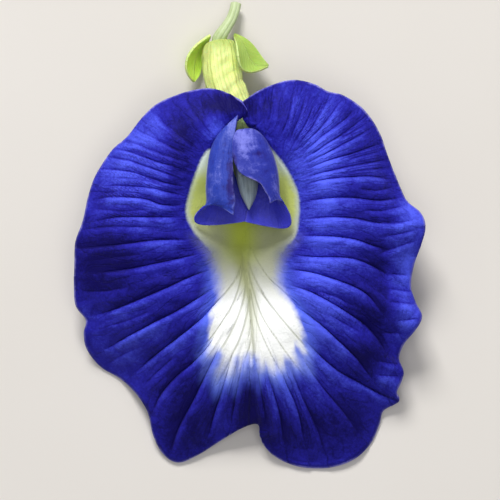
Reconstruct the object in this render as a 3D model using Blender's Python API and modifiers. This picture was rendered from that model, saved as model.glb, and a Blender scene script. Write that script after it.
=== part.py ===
"""Butterfly pea flower (Clitoria ternatea), picked and lying on its back with its face up.

The banner is one large petal. Its claw starts inside the calyx, opens into a funnel and spreads into
a ruffled face with a notch at the bottom and a slit at the top, where its two side margins meet.
Two folded wings stand in the funnel like hoods over the keel, and the two keel petals close over the
stamens and the pistil. X is to the right and Y is up as the face is seen, and Z leaves the table.

Lengths are in millimetres until make_object() turns them into metres.
"""

import math

import bpy
import numpy as np

MM = 0.001
PETAL = 0.34  # thickness of the banner
SMALL_PETAL = 0.26  # thickness of the wings and the keel
SEPAL = 0.34  # thickness of the calyx and the bracteoles

CALYX_LENGTH = 11.1  # base to mouth, along the flower's axis
CALYX_R = 2.35  # radius of the middle of its wall
TOOTH = 4.0  # length of a calyx tooth
TOOTH_FLARE, SLIT_FLARE = 36, 8  # degrees the teeth bend outwards, and the one at the slit
BANNER_R = 1.70  # radii round the flower's axis at the calyx mouth, each clear of the next
CLAW_R = 1.10
SHEATH_R = 0.56
SHEATH = 0.18  # thickness of the stamens' sheath
PISTIL_R = 0.22
ANTHER_R = 0.24
PEDICEL_R = 0.75

FUNNEL_MIDDLE = (-0.5, 9.5, 5.6)  # half way between the claw and the lip the banner is an open oval
FUNNEL_HALF = (4.2, 5.9)
FUNNEL_TURN = 158  # degrees from the oval's lower end to each edge of the slit
FUNNEL_LEAN, FUNNEL_SAG = 2.0, 0.35  # how far its upper end rises, and its sides

CLAW_STATIONS = (1.8, 5.0, 8.4, CALYX_LENGTH)  # distances along the axis where the petals' claws have a row

BANNER_ROWS = (1, 1, 1, 3, 3, 4, 5)  # rows of faces between one station of the banner and the next
BANNER_COLUMNS = 64

# Axis of the flower: from the foot of the calyx to the tip of the keel.
AXIS = (
    (-3.5, 26.8, 2.5),
    (-2.9, 21.5, 3.3),
    (-0.9, 16.2, 4.7),
    (-0.5, 13.4, 6.3),
    (-0.2, 11.0, 8.3),
    (0.1, 8.8, 9.6),
    (0.25, 6.2, 10.1),
)

# Stations of the banner, clockwise from the right side of the slit to its left side.
RING = (  # the lip where the funnel turns into the face
    (-0.05, 16.2, 9.3), (2.5, 14.4, 9.6), (5.0, 11.2, 9.6), (6.5, 8.4, 9.4), (7.0, 5.6, 9.1),
    (6.6, 2.6, 8.6), (5.6, -0.4, 8.0), (4.4, -2.5, 7.4), (2.6, -3.9, 6.9), (0.5, -4.5, 6.7),
    (-1.7, -4.1, 6.9), (-3.6, -2.9, 7.4), (-5.2, -0.6, 8.0), (-6.8, 2.2, 8.7), (-8.0, 5.2, 9.2),
    (-7.4, 8.4, 9.6), (-6.0, 11.4, 9.8), (-3.9, 14.2, 9.8), (-1.45, 16.4, 9.4),
)
MIDDLE = (  # half way out, where the face is highest
    (-0.8, 17.5, 9.9), (5.0, 17.2, 10.3), (9.6, 14.4, 10.3), (12.2, 10.2, 10.4), (13.6, 5.8, 10.4),
    (13.4, 1.6, 10.2), (12.2, -1.8, 9.8), (10.2, -5.4, 9.4), (6.8, -10.6, 8.8), (0.8, -13.2, 8.2),
    (-5.2, -11.4, 8.6), (-9.6, -7.4, 9.2), (-12.2, -2.6, 9.8), (-13.4, 1.4, 10.2), (-13.6, 5.4, 10.4),
    (-12.6, 9.6, 10.4), (-10.2, 13.6, 10.4), (-6.0, 16.8, 10.4), (0.0, 17.6, 10.5),
)
MARGIN = (  # x, y, z and the place on the ring where the vein to this point starts
    (-0.5, 19.0, 10.0, 0.0), (1.3, 20.2, 10.0, 0.2), (3.5, 21.2, 9.2, 0.45), (6.0, 21.7, 8.6, 0.8),
    (8.6, 21.2, 8.0, 1.1), (10.2, 20.3, 7.6, 1.35), (12.2, 19.8, 7.2, 1.6), (14.2, 18.6, 7.0, 1.9),
    (15.8, 16.9, 6.6, 2.2), (17.1, 14.6, 6.4, 2.5), (18.0, 12.0, 6.2, 2.9), (19.1, 9.2, 6.3, 3.3),
    (20.4, 6.3, 6.8, 3.8), (22.2, 4.7, 7.6, 4.2), (22.8, 3.0, 7.9, 4.6), (22.3, 0.8, 7.2, 5.0),
    (21.4, -1.8, 6.0, 5.5), (21.0, -4.6, 5.2, 6.0), (21.6, -6.8, 5.8, 6.3), (22.4, -8.6, 6.8, 6.55),
    (21.6, -10.2, 6.2, 6.75), (20.2, -12.0, 4.4, 6.95), (19.5, -14.0, 3.6, 7.15), (20.1, -16.0, 4.0, 7.35),
    (19.3, -18.3, 2.9, 7.6), (19.6, -19.5, 1.7, 7.7), (17.6, -20.7, 0.7, 7.85), (17.0, -22.6, 0.3, 7.98),
    (15.9, -25.0, 0.3, 8.15), (13.8, -27.0, 0.5, 8.3), (10.5, -28.1, 0.3, 8.48), (6.5, -27.9, 0.3, 8.65),
    (3.5, -26.5, 0.9, 8.78), (1.9, -24.6, 1.8, 8.9), (1.4, -22.4, 3.0, 9.0), (-0.6, -22.9, 2.6, 9.1),
    (-3.5, -24.6, 1.4, 9.25), (-6.5, -26.5, 0.5, 9.42), (-9.0, -27.4, 0.3, 9.58), (-10.9, -26.2, 0.5, 9.72),
    (-12.1, -23.8, 1.2, 9.85), (-12.7, -21.0, 1.7, 10.0), (-14.2, -18.6, 1.4, 10.15),
    (-16.3, -16.6, 0.4, 10.35), (-18.9, -15.0, 0.4, 10.55), (-20.6, -12.8, 1.6, 10.8),
    (-21.0, -10.8, 2.9, 11.0), (-20.7, -9.0, 3.5, 11.25),
    (-22.0, -7.1, 4.2, 11.5), (-22.2, -4.5, 5.0, 11.9), (-22.1, -1.5, 5.4, 12.3), (-22.0, 1.0, 5.6, 12.75),
    (-21.0, 3.8, 6.0, 13.3), (-20.4, 6.5, 6.0, 13.8), (-19.7, 8.8, 6.2, 14.2), (-18.7, 10.7, 6.2, 14.55),
    (-17.2, 12.8, 6.2, 14.95), (-15.2, 14.6, 6.4, 15.35), (-13.4, 16.9, 6.6, 15.8), (-11.6, 18.6, 6.8, 16.2),
    (-9.2, 19.7, 7.2, 16.6), (-6.8, 20.4, 7.8, 17.0), (-4.5, 20.6, 8.6, 17.35), (-2.4, 20.0, 9.6, 17.7),
    (-0.7, 19.0, 10.7, 18.0),
)
# Pleats of the face: number of the margin point they run to, height, and half width in margin points.
PLEATS = (
    (3.0, 0.35, 0.9), (6.0, 0.3, 0.7), (8.6, 0.35, 0.8), (11.0, 0.3, 0.8), (14.0, 0.4, 0.9),
    (17.4, 0.45, 0.9), (20.8, 0.5, 0.8), (23.2, 0.45, 0.8), (25.0, 0.5, 0.6), (28.2, 0.35, 0.8),
    (31.0, 0.4, 0.8), (36.6, 0.4, 0.7), (39.0, 0.4, 0.7), (41.6, 0.45, 0.7), (44.0, 0.45, 0.7),
    (46.6, 0.4, 0.7), (49.4, 0.4, 0.8), (52.4, 0.3, 0.8), (55.6, 0.3, 0.8), (58.4, 0.35, 0.8),
    (61.4, 0.35, 0.8),
)

# Blades of the wings: rows from the calyx mouth to the free end. Each row runs from the edge beside
# the keel, along the leaf behind it, round the fold, to the free edge of the hood in front.
LEFT_WING = (
    ((-1.85, 14.5, 4.6), (-2.0, 14.5, 4.85), (-2.05, 14.5, 5.1), (-2.05, 14.6, 5.35), (-2.0, 14.7, 5.6)),
    ((-2.05, 12.9, 6.3), (-2.1, 12.9, 7.2), (-2.15, 13.0, 8.3), (-2.2, 13.2, 9.5), (-1.6, 14.1, 10.0)),
    ((-2.15, 11.2, 8.1), (-3.3, 11.6, 8.3), (-4.8, 13.4, 10.0), (-4.1, 15.9, 11.2), (-0.9, 18.9, 11.3)),
    ((-1.5, 9.2, 8.4), (-3.8, 9.4, 8.5), (-5.5, 10.2, 10.4), (-4.4, 11.4, 12.9), (-1.9, 12.8, 12.3)),
    ((-0.2, 6.9, 8.2), (-3.8, 6.2, 8.5), (-5.8, 7.1, 10.2), (-4.5, 7.8, 12.8), (-1.75, 8.6, 12.7)),
    ((0.5, 5.0, 8.3), (-3.6, 4.4, 8.6), (-5.2, 5.7, 9.8), (-4.6, 5.8, 12.3), (-1.45, 6.0, 12.7)),
    ((0.6, 3.8, 8.5), (-3.4, 3.1, 8.8), (-8.0, 3.1, 9.2), (-4.9, 6.8, 11.4), (-1.7, 4.5, 12.6)),
)
RIGHT_WING = (
    ((0.5, 14.5, 4.6), (0.65, 14.5, 4.85), (0.7, 14.5, 5.1), (0.7, 14.6, 5.35), (0.65, 14.7, 5.6)),
    ((1.15, 12.9, 6.3), (1.2, 12.9, 7.0), (1.2, 13.0, 7.7), (1.2, 13.2, 8.5), (0.8, 13.7, 9.3)),
    ((1.7, 11.2, 8.1), (2.3, 11.6, 8.3), (3.2, 13.4, 10.0), (1.1, 17.2, 11.4), (-1.5, 16.2, 12.9)),
    ((1.7, 9.2, 8.4), (3.2, 9.4, 8.5), (4.4, 10.2, 10.3), (2.7, 12.4, 13.2), (-2.1, 12.6, 13.5)),
    ((0.6, 6.9, 8.4), (3.2, 6.6, 8.5), (4.4, 7.9, 10.1), (3.6, 9.6, 13.0), (-1.3, 9.5, 13.6)),
    ((0.0, 5.0, 9.0), (3.2, 4.6, 8.5), (4.2, 5.6, 9.8), (4.0, 7.3, 12.2), (1.9, 8.9, 13.3)),
    ((-0.2, 3.6, 9.3), (3.2, 2.8, 8.7), (6.5, 2.5, 9.2), (4.5, 7.0, 11.2), (3.0, 6.0, 12.4)),
)
# One half of the keel, from its free edge to the ridge: distance from the axis, y, z.
KEEL = (
    ((0.87, 14.4, 5.6), (0.93, 14.6, 6.0), (0.7, 14.9, 6.45), (0.17, 15.1, 6.7)),
    ((1.02, 12.7, 6.1), (1.2, 13.1, 6.9), (0.9, 13.6, 7.9), (0.17, 13.7, 8.1)),
    ((1.05, 10.6, 7.7), (1.4, 11.0, 8.7), (1.0, 11.7, 10.0), (0.17, 11.9, 10.2)),
    ((1.0, 8.4, 8.7), (1.6, 8.7, 9.7), (1.1, 9.1, 11.2), (0.17, 9.2, 11.3)),
    ((0.7, 6.7, 9.1), (1.0, 6.7, 9.9), (0.7, 6.9, 11.1), (0.17, 6.9, 11.2)),
    ((0.22, 5.5, 9.8), (0.28, 5.4, 10.1), (0.2, 5.3, 10.65), (0.17, 5.2, 10.7)),
)

# Edges of the bracteoles from stalk to tip: one edge, then the other.
RIGHT_BRACTEOLE = (
    ((-1.75, 27.5, 3.3), (-1.35, 26.5, 5.4), (-1.2, 24.7, 6.2), (-0.9, 23.1, 5.6), (0.7, 22.6, 4.5),
     (2.7, 23.6, 3.5)),
    ((-1.6, 27.85, 2.8), (-0.2, 27.3, 3.2), (0.9, 26.3, 3.1), (1.6, 25.3, 3.0), (2.2, 24.5, 3.1),
     (2.8, 23.8, 3.3)),
)
LEFT_BRACTEOLE = (
    ((-4.8, 27.4, 2.1), (-5.3, 26.4, 1.0), (-5.85, 25.0, 0.8), (-5.9, 23.6, 0.9), (-6.1, 22.5, 1.2),
     (-6.8, 21.7, 1.8)),
    ((-4.75, 27.7, 2.8), (-6.3, 26.7, 3.3), (-7.5, 25.4, 3.4), (-8.0, 24.0, 3.2), (-7.8, 22.7, 2.7),
     (-7.0, 21.8, 2.0)),
)

COLOURS = {
    "banner": (0.028, 0.022, 0.36),
    "wing": (0.055, 0.06, 0.45),
    "keel": (0.62, 0.66, 0.50),
    "stamen": (0.86, 0.84, 0.66),
    "pistil": (0.52, 0.62, 0.26),
    "sepal": (0.42, 0.56, 0.16),
    "bracteole": (0.26, 0.46, 0.11),
    "stem": (0.36, 0.46, 0.20),
}


def clear_scene():
    for obj in list(bpy.data.objects):
        bpy.data.objects.remove(obj, do_unlink=True)
    bpy.context.scene.unit_settings.system = "METRIC"
    collection = bpy.data.collections.new("butterfly_pea_flower")
    bpy.context.scene.collection.children.link(collection)
    return collection


def through(keys, at):
    """Points of a Catmull-Rom curve through keys, at each number in at (0 is the first key)."""
    keys = np.asarray(keys, float)
    at = np.asarray(at, float)
    low = np.clip(np.floor(at).astype(int), 0, len(keys) - 2)
    f = (at - low).reshape(at.shape + (1,) * (keys.ndim - 1))
    padded = np.concatenate([[2 * keys[0] - keys[1]], keys, [2 * keys[-1] - keys[-2]]])
    a, b, c, d = (padded[low + k] for k in range(4))
    return 0.5 * (2 * b + (c - a) * f + (2 * a - 5 * b + 4 * c - d) * f**2 + (3 * b - a - 3 * c + d) * f**3)


def axis_frame(along):
    """Point, side and underside of the flower's axis, at distances along it from the calyx foot."""
    fine = through(AXIS, np.linspace(0, len(AXIS) - 1, 241))
    steps = np.gradient(fine, axis=0)
    length = np.concatenate([[0], np.cumsum(np.linalg.norm(np.diff(fine, axis=0), axis=1))])
    point = np.stack([np.interp(along, length, fine[:, k]) for k in range(3)], -1)
    ahead = np.stack([np.interp(along, length, steps[:, k]) for k in range(3)], -1)
    ahead /= np.linalg.norm(ahead, axis=-1, keepdims=True)
    before = np.minimum(np.asarray(along, float), 0)[..., None]  # the pedicel runs on before the calyx
    under = np.cross(ahead, (1.0, 0.0, 0.0))
    under /= -np.linalg.norm(under, axis=-1, keepdims=True)
    return point + before * ahead, np.cross(ahead, under), under


def around(along, degrees, radius):
    """Points round the axis. 0 degrees is on the banner's side, 90 on the right, 180 at the slit."""
    along, degrees, radius = np.broadcast_arrays(along, degrees, radius)
    point, side, under = axis_frame(along)
    turn = np.radians(degrees)[..., None]
    return point + radius[..., None] * (np.sin(turn) * side + np.cos(turn) * under)


def material(kind, roughness=0.6):
    found = bpy.data.materials.get(kind)
    if found is None:
        found = bpy.data.materials.new(kind)
        found.use_nodes = True
        shader = found.node_tree.nodes["Principled BSDF"]
        shader.inputs["Base Color"].default_value = (*COLOURS[kind], 1)
        shader.inputs["Roughness"].default_value = roughness
        found.diffuse_color = (*COLOURS[kind], 1)
    return found


def make_object(collection, name, net, kind, closed=False):
    """An open sheet from a net of points, rows by columns. closed joins the last column to the first."""
    rows, columns = net.shape[:2]
    mesh = bpy.data.meshes.new(name)
    faces = []
    for row in range(rows - 1):
        for left in range(columns if closed else columns - 1):
            right = (left + 1) % columns
            here, ahead = row * columns, (row + 1) * columns
            faces.append((here + left, here + right, ahead + right, ahead + left))
    mesh.from_pydata((net.reshape(-1, 3) * MM).tolist(), [], faces)
    mesh.materials.append(material(kind))
    mesh.shade_smooth()
    obj = bpy.data.objects.new(name, mesh)
    collection.objects.link(obj)
    return obj


def smooth(obj, levels):
    modifier = obj.modifiers.new("Subdivision", "SUBSURF")
    modifier.levels = modifier.render_levels = levels
    modifier.boundary_smooth = "PRESERVE_CORNERS"


def thicken(obj, thickness):
    modifier = obj.modifiers.new("Solidify", "SOLIDIFY")
    modifier.thickness = thickness * MM
    modifier.offset = 0
    modifier.use_even_offset = True


def banner_columns():
    """Numbers along MARGIN that divide the margin evenly, and the margin's points there."""
    fine_at = np.linspace(0, len(MARGIN) - 1, 1281)
    fine = through(MARGIN, fine_at)
    length = np.concatenate([[0], np.cumsum(np.linalg.norm(np.diff(fine[:, :2], axis=0), axis=1))])
    at = np.interp(np.linspace(0, length[-1], BANNER_COLUMNS + 1), length, fine_at)
    return at, through(MARGIN, at)


def banner_net():
    at, margin = banner_columns()
    vein = margin[:, 3]
    turn = -(vein - 9) / 9  # -1 and 1 at the slit, 0 at the midrib
    spread = np.radians(turn * FUNNEL_TURN)
    funnel = np.stack(
        [
            FUNNEL_MIDDLE[0] + FUNNEL_HALF[0] * np.sin(spread),
            FUNNEL_MIDDLE[1] - FUNNEL_HALF[1] * np.cos(spread),
            FUNNEL_MIDDLE[2] - FUNNEL_LEAN * np.cos(spread) + FUNNEL_SAG * np.sin(spread) ** 2,
        ],
        -1,
    )
    stations = np.stack(
        [
            around(CLAW_STATIONS[0], turn * 62, BANNER_R - 0.1),
            around(CLAW_STATIONS[1], turn * 92, BANNER_R),
            around(CLAW_STATIONS[2], turn * 122, BANNER_R),
            around(CLAW_STATIONS[3], turn * 140, BANNER_R),
            funnel,
            through(RING, vein),
            through(MIDDLE, vein),
            margin[:, :3],
        ]
    )
    rows = np.concatenate([k + np.arange(n) / n for k, n in enumerate(BANNER_ROWS)] + [[len(BANNER_ROWS)]])
    net = through(stations, rows)
    out = np.clip((rows - 5.1) / 1.9, 0, 1)
    height = np.sin(np.pi * out**0.8) * 0.75 + 0.3 * out**2
    for place, rise, width in PLEATS:
        net[:, :, 2] += rise * np.outer(height, np.exp(-(((at - place) / width) ** 2)))
    return net


def make_banner(collection):
    obj = make_object(collection, "banner", banner_net(), "banner")
    thicken(obj, PETAL)


def make_wing(collection, name, blade, side):
    claw = [around(along, side * np.linspace(60, 102, 5), CLAW_R) for along in CLAW_STATIONS]
    obj = make_object(collection, name, np.array(claw + [np.array(row) for row in blade]), "wing")
    smooth(obj, 1)
    thicken(obj, SMALL_PETAL)


def make_keel(collection, name, side):
    claw = [around(along, side * np.linspace(138, 169, 4), CLAW_R) for along in CLAW_STATIONS[:3]]
    claw.append(around(CALYX_LENGTH, side * np.linspace(138, 169, 4), CLAW_R + 0.1))
    axis_x, axis_y, _ = np.array(AXIS)[::-1].T
    blade = []
    for row in np.array(KEEL):
        middle = np.interp(row[:, 1], axis_y, axis_x)
        blade.append(np.column_stack([middle + side * row[:, 0], row[:, 1:]]))
    obj = make_object(collection, name, np.array(claw + blade), "keel")
    smooth(obj, 1)
    thicken(obj, SMALL_PETAL)


def make_stamen_tube(collection):
    """Nine filaments joined into a sheath that is open on the banner's side, free at their ends."""
    count, joined = 9, 7  # filaments, and the rows over which they are joined
    along = (*CLAW_STATIONS, 13.6, 15.6, 17.5, 19.4, 20.6, 21.4, 22.0)
    wide = (*[0.5] * joined, 0.26, 0.22, 0.5, 0.26)  # half width of a filament, as a share of the pitch
    pitch = 270 / count
    net = []
    for s, share in zip(along, wide):
        middle = 45 + pitch * (np.arange(count) + 0.5)
        turn = np.stack([middle - share * pitch, middle + share * pitch], -1).reshape(-1)
        radius = SHEATH_R if s < 20 else SHEATH_R - 0.05 * (s - 20)
        net.append(around(s, turn, radius))
    net = np.array(net)
    points, faces, number = [], [], {}

    def corner(row, column):
        shared = row < joined and column % 2 == 0 and column > 0  # in the sheath two filaments share an edge
        key = (row, column - 1 if shared else column)
        if key not in number:
            number[key] = len(points)
            points.append(net[key[0], key[1]] * MM)
        return number[key]

    for row in range(len(along) - 1):
        for left in range(0, 2 * count, 2):
            right, ahead = left + 1, row + 1
            faces.append((corner(row, left), corner(row, right), corner(ahead, right), corner(ahead, left)))
    mesh = bpy.data.meshes.new("stamen_tube")
    mesh.from_pydata([tuple(p) for p in points], [], faces)
    mesh.materials.append(material("stamen"))
    obj = bpy.data.objects.new("stamen_tube", mesh)
    collection.objects.link(obj)
    thicken(obj, SHEATH)


def make_thread(collection, name, kind, points, radii, sides=4):
    """A round thread through points, with its own radius at each and closed ends."""
    curve = bpy.data.curves.new(name, "CURVE")
    curve.dimensions = "3D"
    curve.bevel_depth = MM
    curve.bevel_resolution = sides
    curve.use_fill_caps = True
    spline = curve.splines.new("POLY")
    spline.points.add(len(points) - 1)
    for point, place, radius in zip(spline.points, points, radii):
        point.co = (*(place * MM), 1)
        point.radius = radius
    curve.materials.append(material(kind))
    obj = bpy.data.objects.new(name, curve)
    collection.objects.link(obj)
    return obj


def make_free_stamen(collection):
    along = np.array([2.1, 6, 10, 12, 13.5, 15, 16.5, 18, 19.5, 20.6, 20.9, 21.3, 21.7, 22.0])
    radii = [0.13] * 10 + [0.2, ANTHER_R, 0.2, 0.08]
    make_thread(collection, "free_stamen", "stamen", around(along, 0, SHEATH_R), radii, 2)


def make_pistil(collection):
    along = np.array([2.0, 2.6, 4, 6, 8, 10, 12, 13.5, 15, 16.5, 18, 19.5, 20.8, 21.2, 21.6, 21.9])
    shape = [0.5, 0.9, 1.1, 1.15, 1.1, 1.0, 0.8, 0.65, 0.6, 0.55, 0.5, 0.5, 0.6, 1.0, 1.0, 0.4]
    make_thread(collection, "pistil", "pistil", around(along, 0, 0), [PISTIL_R * s for s in shape], 3)


def make_calyx(collection):
    """A ribbed tube with five teeth. The one at the slit is narrower and lies flat inside it."""
    columns = 40
    turn = np.arange(columns) * 360 / columns
    along = np.array([0, 0.15, 0.7, 1.8, 4.4, 8.0, CALYX_LENGTH])
    radius = np.array([1.15, 1.6, 2.05, 2.3, 2.3, 2.22, 2.3]) / 2.3 * CALYX_R
    ribs = 1 + 0.018 * np.cos(np.radians(10 * turn))
    rows = [around(s, turn, r * ribs) for s, r in zip(along, radius)]
    offset = (turn + 72) % 72 / 36 - 1  # -1 and 1 in the valleys, 0 at the middle of a tooth
    at_slit = np.abs(turn - 180) < 36
    half = np.where(at_slit, 0.8, 0.98)
    tooth = np.clip(1 - np.abs(offset) / half, 0, 1) ** 0.8
    flare = np.radians(np.where(at_slit, SLIT_FLARE, TOOTH_FLARE))
    reach = TOOTH * tooth
    for share in (0.34, 0.67, 1.0):
        out = share * reach + 0.12 * share
        bend = flare * (0.75 + 0.25 * share)
        rows.append(around(CALYX_LENGTH + out * np.cos(bend), turn, radius[-1] * ribs + out * np.sin(bend)))
    obj = make_object(collection, "calyx", np.array(rows), "sepal", closed=True)
    thicken(obj, SEPAL)


def make_bracteole(collection, name, edges):
    """A small cupped leaf beside the foot of the calyx, from its two edges."""
    share = np.linspace(0, 1, 5)[None, :, None]
    first, second = (np.array(edge)[:, None, :] for edge in edges)
    rows = first * (1 - share) + second * share
    width = np.linalg.norm(second - first, axis=-1)
    rows[:, :, 2] -= 0.10 * width * (4 * share * (1 - share))[:, :, 0]
    obj = make_object(collection, name, rows, "bracteole")
    smooth(obj, 1)
    thicken(obj, SEPAL)


def make_pedicel(collection):
    """The short stalk, cut clean at its lower end. Its top goes through the calyx as the receptacle."""
    stalk = [(-1.4, 31.8, 1.4), (-1.6, 30.9, 1.7), (-2.0, 29.8, 2.1), (-2.6, 28.8, 2.45), (-3.2, 27.9, 2.7)]
    points = np.concatenate([stalk, around(np.array([-0.35, 0.3, 0.9, 1.3, 1.5]), 0, 0)])
    radii = np.array([0.9, 0.9, 0.92, 0.96, 1.05, 1.1, 0.95, 0.8, 0.55, 0.3]) * PEDICEL_R
    make_thread(collection, "pedicel", "stem", points, radii, 4)


def set_down(collection):
    """Moves everything so that the flower's box stands on the origin by the middle of its bottom."""
    bpy.context.view_layer.update()
    graph = bpy.context.evaluated_depsgraph_get()
    low, high = np.full(3, np.inf), np.full(3, -np.inf)
    for obj in collection.objects:
        mesh = obj.evaluated_get(graph).to_mesh()
        points = np.array([vertex.co for vertex in mesh.vertices])
        low, high = np.minimum(low, points.min(0)), np.maximum(high, points.max(0))
        obj.evaluated_get(graph).to_mesh_clear()
    flower = bpy.data.objects.new("flower", None)
    flower.location = (-(low[0] + high[0]) / 2, -(low[1] + high[1]) / 2, -low[2])
    for obj in list(collection.objects):
        obj.parent = flower
    collection.objects.link(flower)


def main():
    collection = clear_scene()
    make_pedicel(collection)
    make_calyx(collection)
    make_bracteole(collection, "bracteole_right", RIGHT_BRACTEOLE)
    make_bracteole(collection, "bracteole_left", LEFT_BRACTEOLE)
    make_banner(collection)
    make_wing(collection, "wing_left", LEFT_WING, -1)
    make_wing(collection, "wing_right", RIGHT_WING, 1)
    make_keel(collection, "keel_left", -1)
    make_keel(collection, "keel_right", 1)
    make_stamen_tube(collection)
    make_free_stamen(collection)
    make_pistil(collection)
    set_down(collection)


main()
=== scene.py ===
# %% [markdown]
# # A butterfly pea flower
#
# This lesson dresses one picked butterfly pea flower. It lies on its back with its face up, and the
# camera looks straight down on it. The real flower has one very large petal, the banner, which
# carries almost all of the colour. Two wing petals stand in its throat like hoods, a small keel hides
# between them, and a green calyx holds everything at the top.
#
# The solid frame of the flower comes in first. It fixes where each organ is, and every petal made
# below takes the place of one solid in it.

import bpy
import numpy as np
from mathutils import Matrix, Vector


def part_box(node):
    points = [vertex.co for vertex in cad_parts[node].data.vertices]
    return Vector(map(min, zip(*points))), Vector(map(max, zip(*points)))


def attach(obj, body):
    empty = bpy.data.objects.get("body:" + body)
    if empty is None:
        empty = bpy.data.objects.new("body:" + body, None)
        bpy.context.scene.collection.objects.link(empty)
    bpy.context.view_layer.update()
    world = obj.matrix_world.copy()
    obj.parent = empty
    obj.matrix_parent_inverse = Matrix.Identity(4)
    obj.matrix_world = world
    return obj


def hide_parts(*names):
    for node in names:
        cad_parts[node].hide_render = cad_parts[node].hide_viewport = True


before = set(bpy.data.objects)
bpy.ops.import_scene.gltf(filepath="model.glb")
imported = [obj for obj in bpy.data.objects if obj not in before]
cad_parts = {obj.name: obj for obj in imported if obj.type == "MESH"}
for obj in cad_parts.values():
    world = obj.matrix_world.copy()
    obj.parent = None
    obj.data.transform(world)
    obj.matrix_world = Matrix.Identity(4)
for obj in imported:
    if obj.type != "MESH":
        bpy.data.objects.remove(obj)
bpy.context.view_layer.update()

print("nodes:", ", ".join(sorted(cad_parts)))

# %% [markdown]
# ## Curves through given points
#
# A petal is a sheet that is hard to describe by one formula and easy to describe by a few points. So
# each petal is a small table of points, and `through` draws a smooth curve between them. It is a
# Catmull-Rom curve, which passes through every point it is given, so a point can be placed exactly
# where the petal should be. Each bit of a curve depends on four points, which `window` finds.

# %% Smooth curves
MM = 0.001


def window(keys, at):
    """The four keys round each place on a curve, and its share of the way between the middle two."""
    keys, at = np.asarray(keys, float), np.asarray(at, float)
    low = np.clip(np.floor(at).astype(int), 0, len(keys) - 2)
    padded = np.concatenate([[2 * keys[0] - keys[1]], keys, [2 * keys[-1] - keys[-2]]])
    gone = (at - low).reshape(at.shape + (1,) * (keys.ndim - 1))
    return *(padded[low + k] for k in range(4)), gone


def through(keys, at):
    """Points of a Catmull-Rom curve through keys, at each number in at (0 is the first key)."""
    a, b, c, d, f = window(keys, at)
    square, cube = 2 * a - 5 * b + 4 * c - d, 3 * b - a - 3 * c + d
    return 0.5 * (2 * b + (c - a) * f + square * f**2 + cube * f**3)


def smoothstep(value, start, end):
    share = np.clip((value - start) / (end - start), 0, 1)
    return share * share * (3 - 2 * share)


def unit(vectors):
    return vectors / np.linalg.norm(vectors, axis=-1, keepdims=True)


# %% [markdown]
# ## The flower's axis
#
# Everything inside the calyx is wrapped round one curved line, from the foot of the calyx to the tip
# of the keel. `around` turns a distance along that line, an angle and a radius into a point. Angles
# start on the banner's side, and 180 degrees is the slit where the banner's two edges meet.

# %% Axis
AXIS = (
    (-3.5, 26.8, 2.5), (-2.9, 21.5, 3.3), (-0.9, 16.2, 4.7), (-0.5, 13.4, 6.3), (-0.2, 11, 8.3),
    (0.1, 8.8, 9.6), (0.25, 6.2, 10.1),
)
CALYX_LENGTH, CALYX_R, TOOTH = 11.1, 2.35, 4
BANNER_R, CLAW_R = 1.70, 1.10
CLAW_STATIONS = (1.8, 5, 8.4, CALYX_LENGTH)


def axis_frame(along):
    """Point, side and underside of the axis, at distances along it from the calyx foot."""
    fine = through(AXIS, np.linspace(0, len(AXIS) - 1, 241))
    steps = np.gradient(fine, axis=0)
    length = np.concatenate([[0], np.cumsum(np.linalg.norm(np.diff(fine, axis=0), axis=1))])
    point = np.stack([np.interp(along, length, v) for v in fine.T], -1)
    ahead = unit(np.stack([np.interp(along, length, v) for v in steps.T], -1))
    under = -unit(np.cross(ahead, (1, 0, 0)))
    point = point + np.minimum(along, 0)[..., None] * ahead
    return point, np.cross(ahead, under), under


def around(along, degrees, radius):
    along, degrees, radius = np.broadcast_arrays(along, degrees, radius)
    point, side, under = axis_frame(along)
    turn = np.radians(degrees)[..., None]
    return point + radius[..., None] * (np.sin(turn) * side + np.cos(turn) * under)


print("calyx foot and mouth, mm:", around(0, 0, 0).round(1), around(CALYX_LENGTH, 0, 0).round(1))

# %% [markdown]
# ## The banner's form
#
# The banner starts as a narrow claw inside the calyx, opens into a funnel, turns over a lip and
# spreads into the wide face. It is drawn as stations, and each goes clockwise from one edge of the
# slit to the other. These two are the lip and a line midway between it and the margin.

# %% Lip and middle of the banner
LIP = (
    (-0.05, 16.2, 9.3), (2.5, 14.4, 9.6), (5, 11.2, 9.6), (6.5, 8.4, 9.4), (7, 5.6, 9.1), (6.6, 2.6, 8.6),
    (5.6, -0.4, 8), (4.4, -2.5, 7.4), (2.6, -3.9, 6.9), (0.5, -4.5, 6.7), (-1.7, -4.1, 6.9),
    (-3.6, -2.9, 7.4), (-5.2, -0.6, 8), (-6.8, 2.2, 8.7), (-8, 5.2, 9.2), (-7.4, 8.4, 9.6),
    (-6, 11.4, 9.8), (-3.9, 14.2, 9.8), (-1.45, 16.4, 9.4),
)
MIDWAY = (
    (-0.8, 17.5, 9.9), (5, 17.2, 10.3), (9.6, 14.4, 10.3), (12.2, 10.2, 10.4), (13.6, 5.8, 10.4),
    (13.4, 1.6, 10.2), (12.2, -1.8, 9.8), (10.2, -5.4, 9.4), (6.8, -10.6, 8.8), (0.8, -13.2, 8.2),
    (-5.2, -11.4, 8.6), (-9.6, -7.4, 9.2), (-12.2, -2.6, 9.8), (-13.4, 1.4, 10.2), (-13.6, 5.4, 10.4),
    (-12.6, 9.6, 10.4), (-10.2, 13.6, 10.4), (-6, 16.8, 10.4), (0, 17.6, 10.5),
)
print("points on the lip:", len(LIP), "and midway:", len(MIDWAY))

# %% [markdown]
# The last station is the ruffled margin. The fourth number of a point says which place on the lip its
# vein starts from, so the veins fan out as they do in the real petal.

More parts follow.
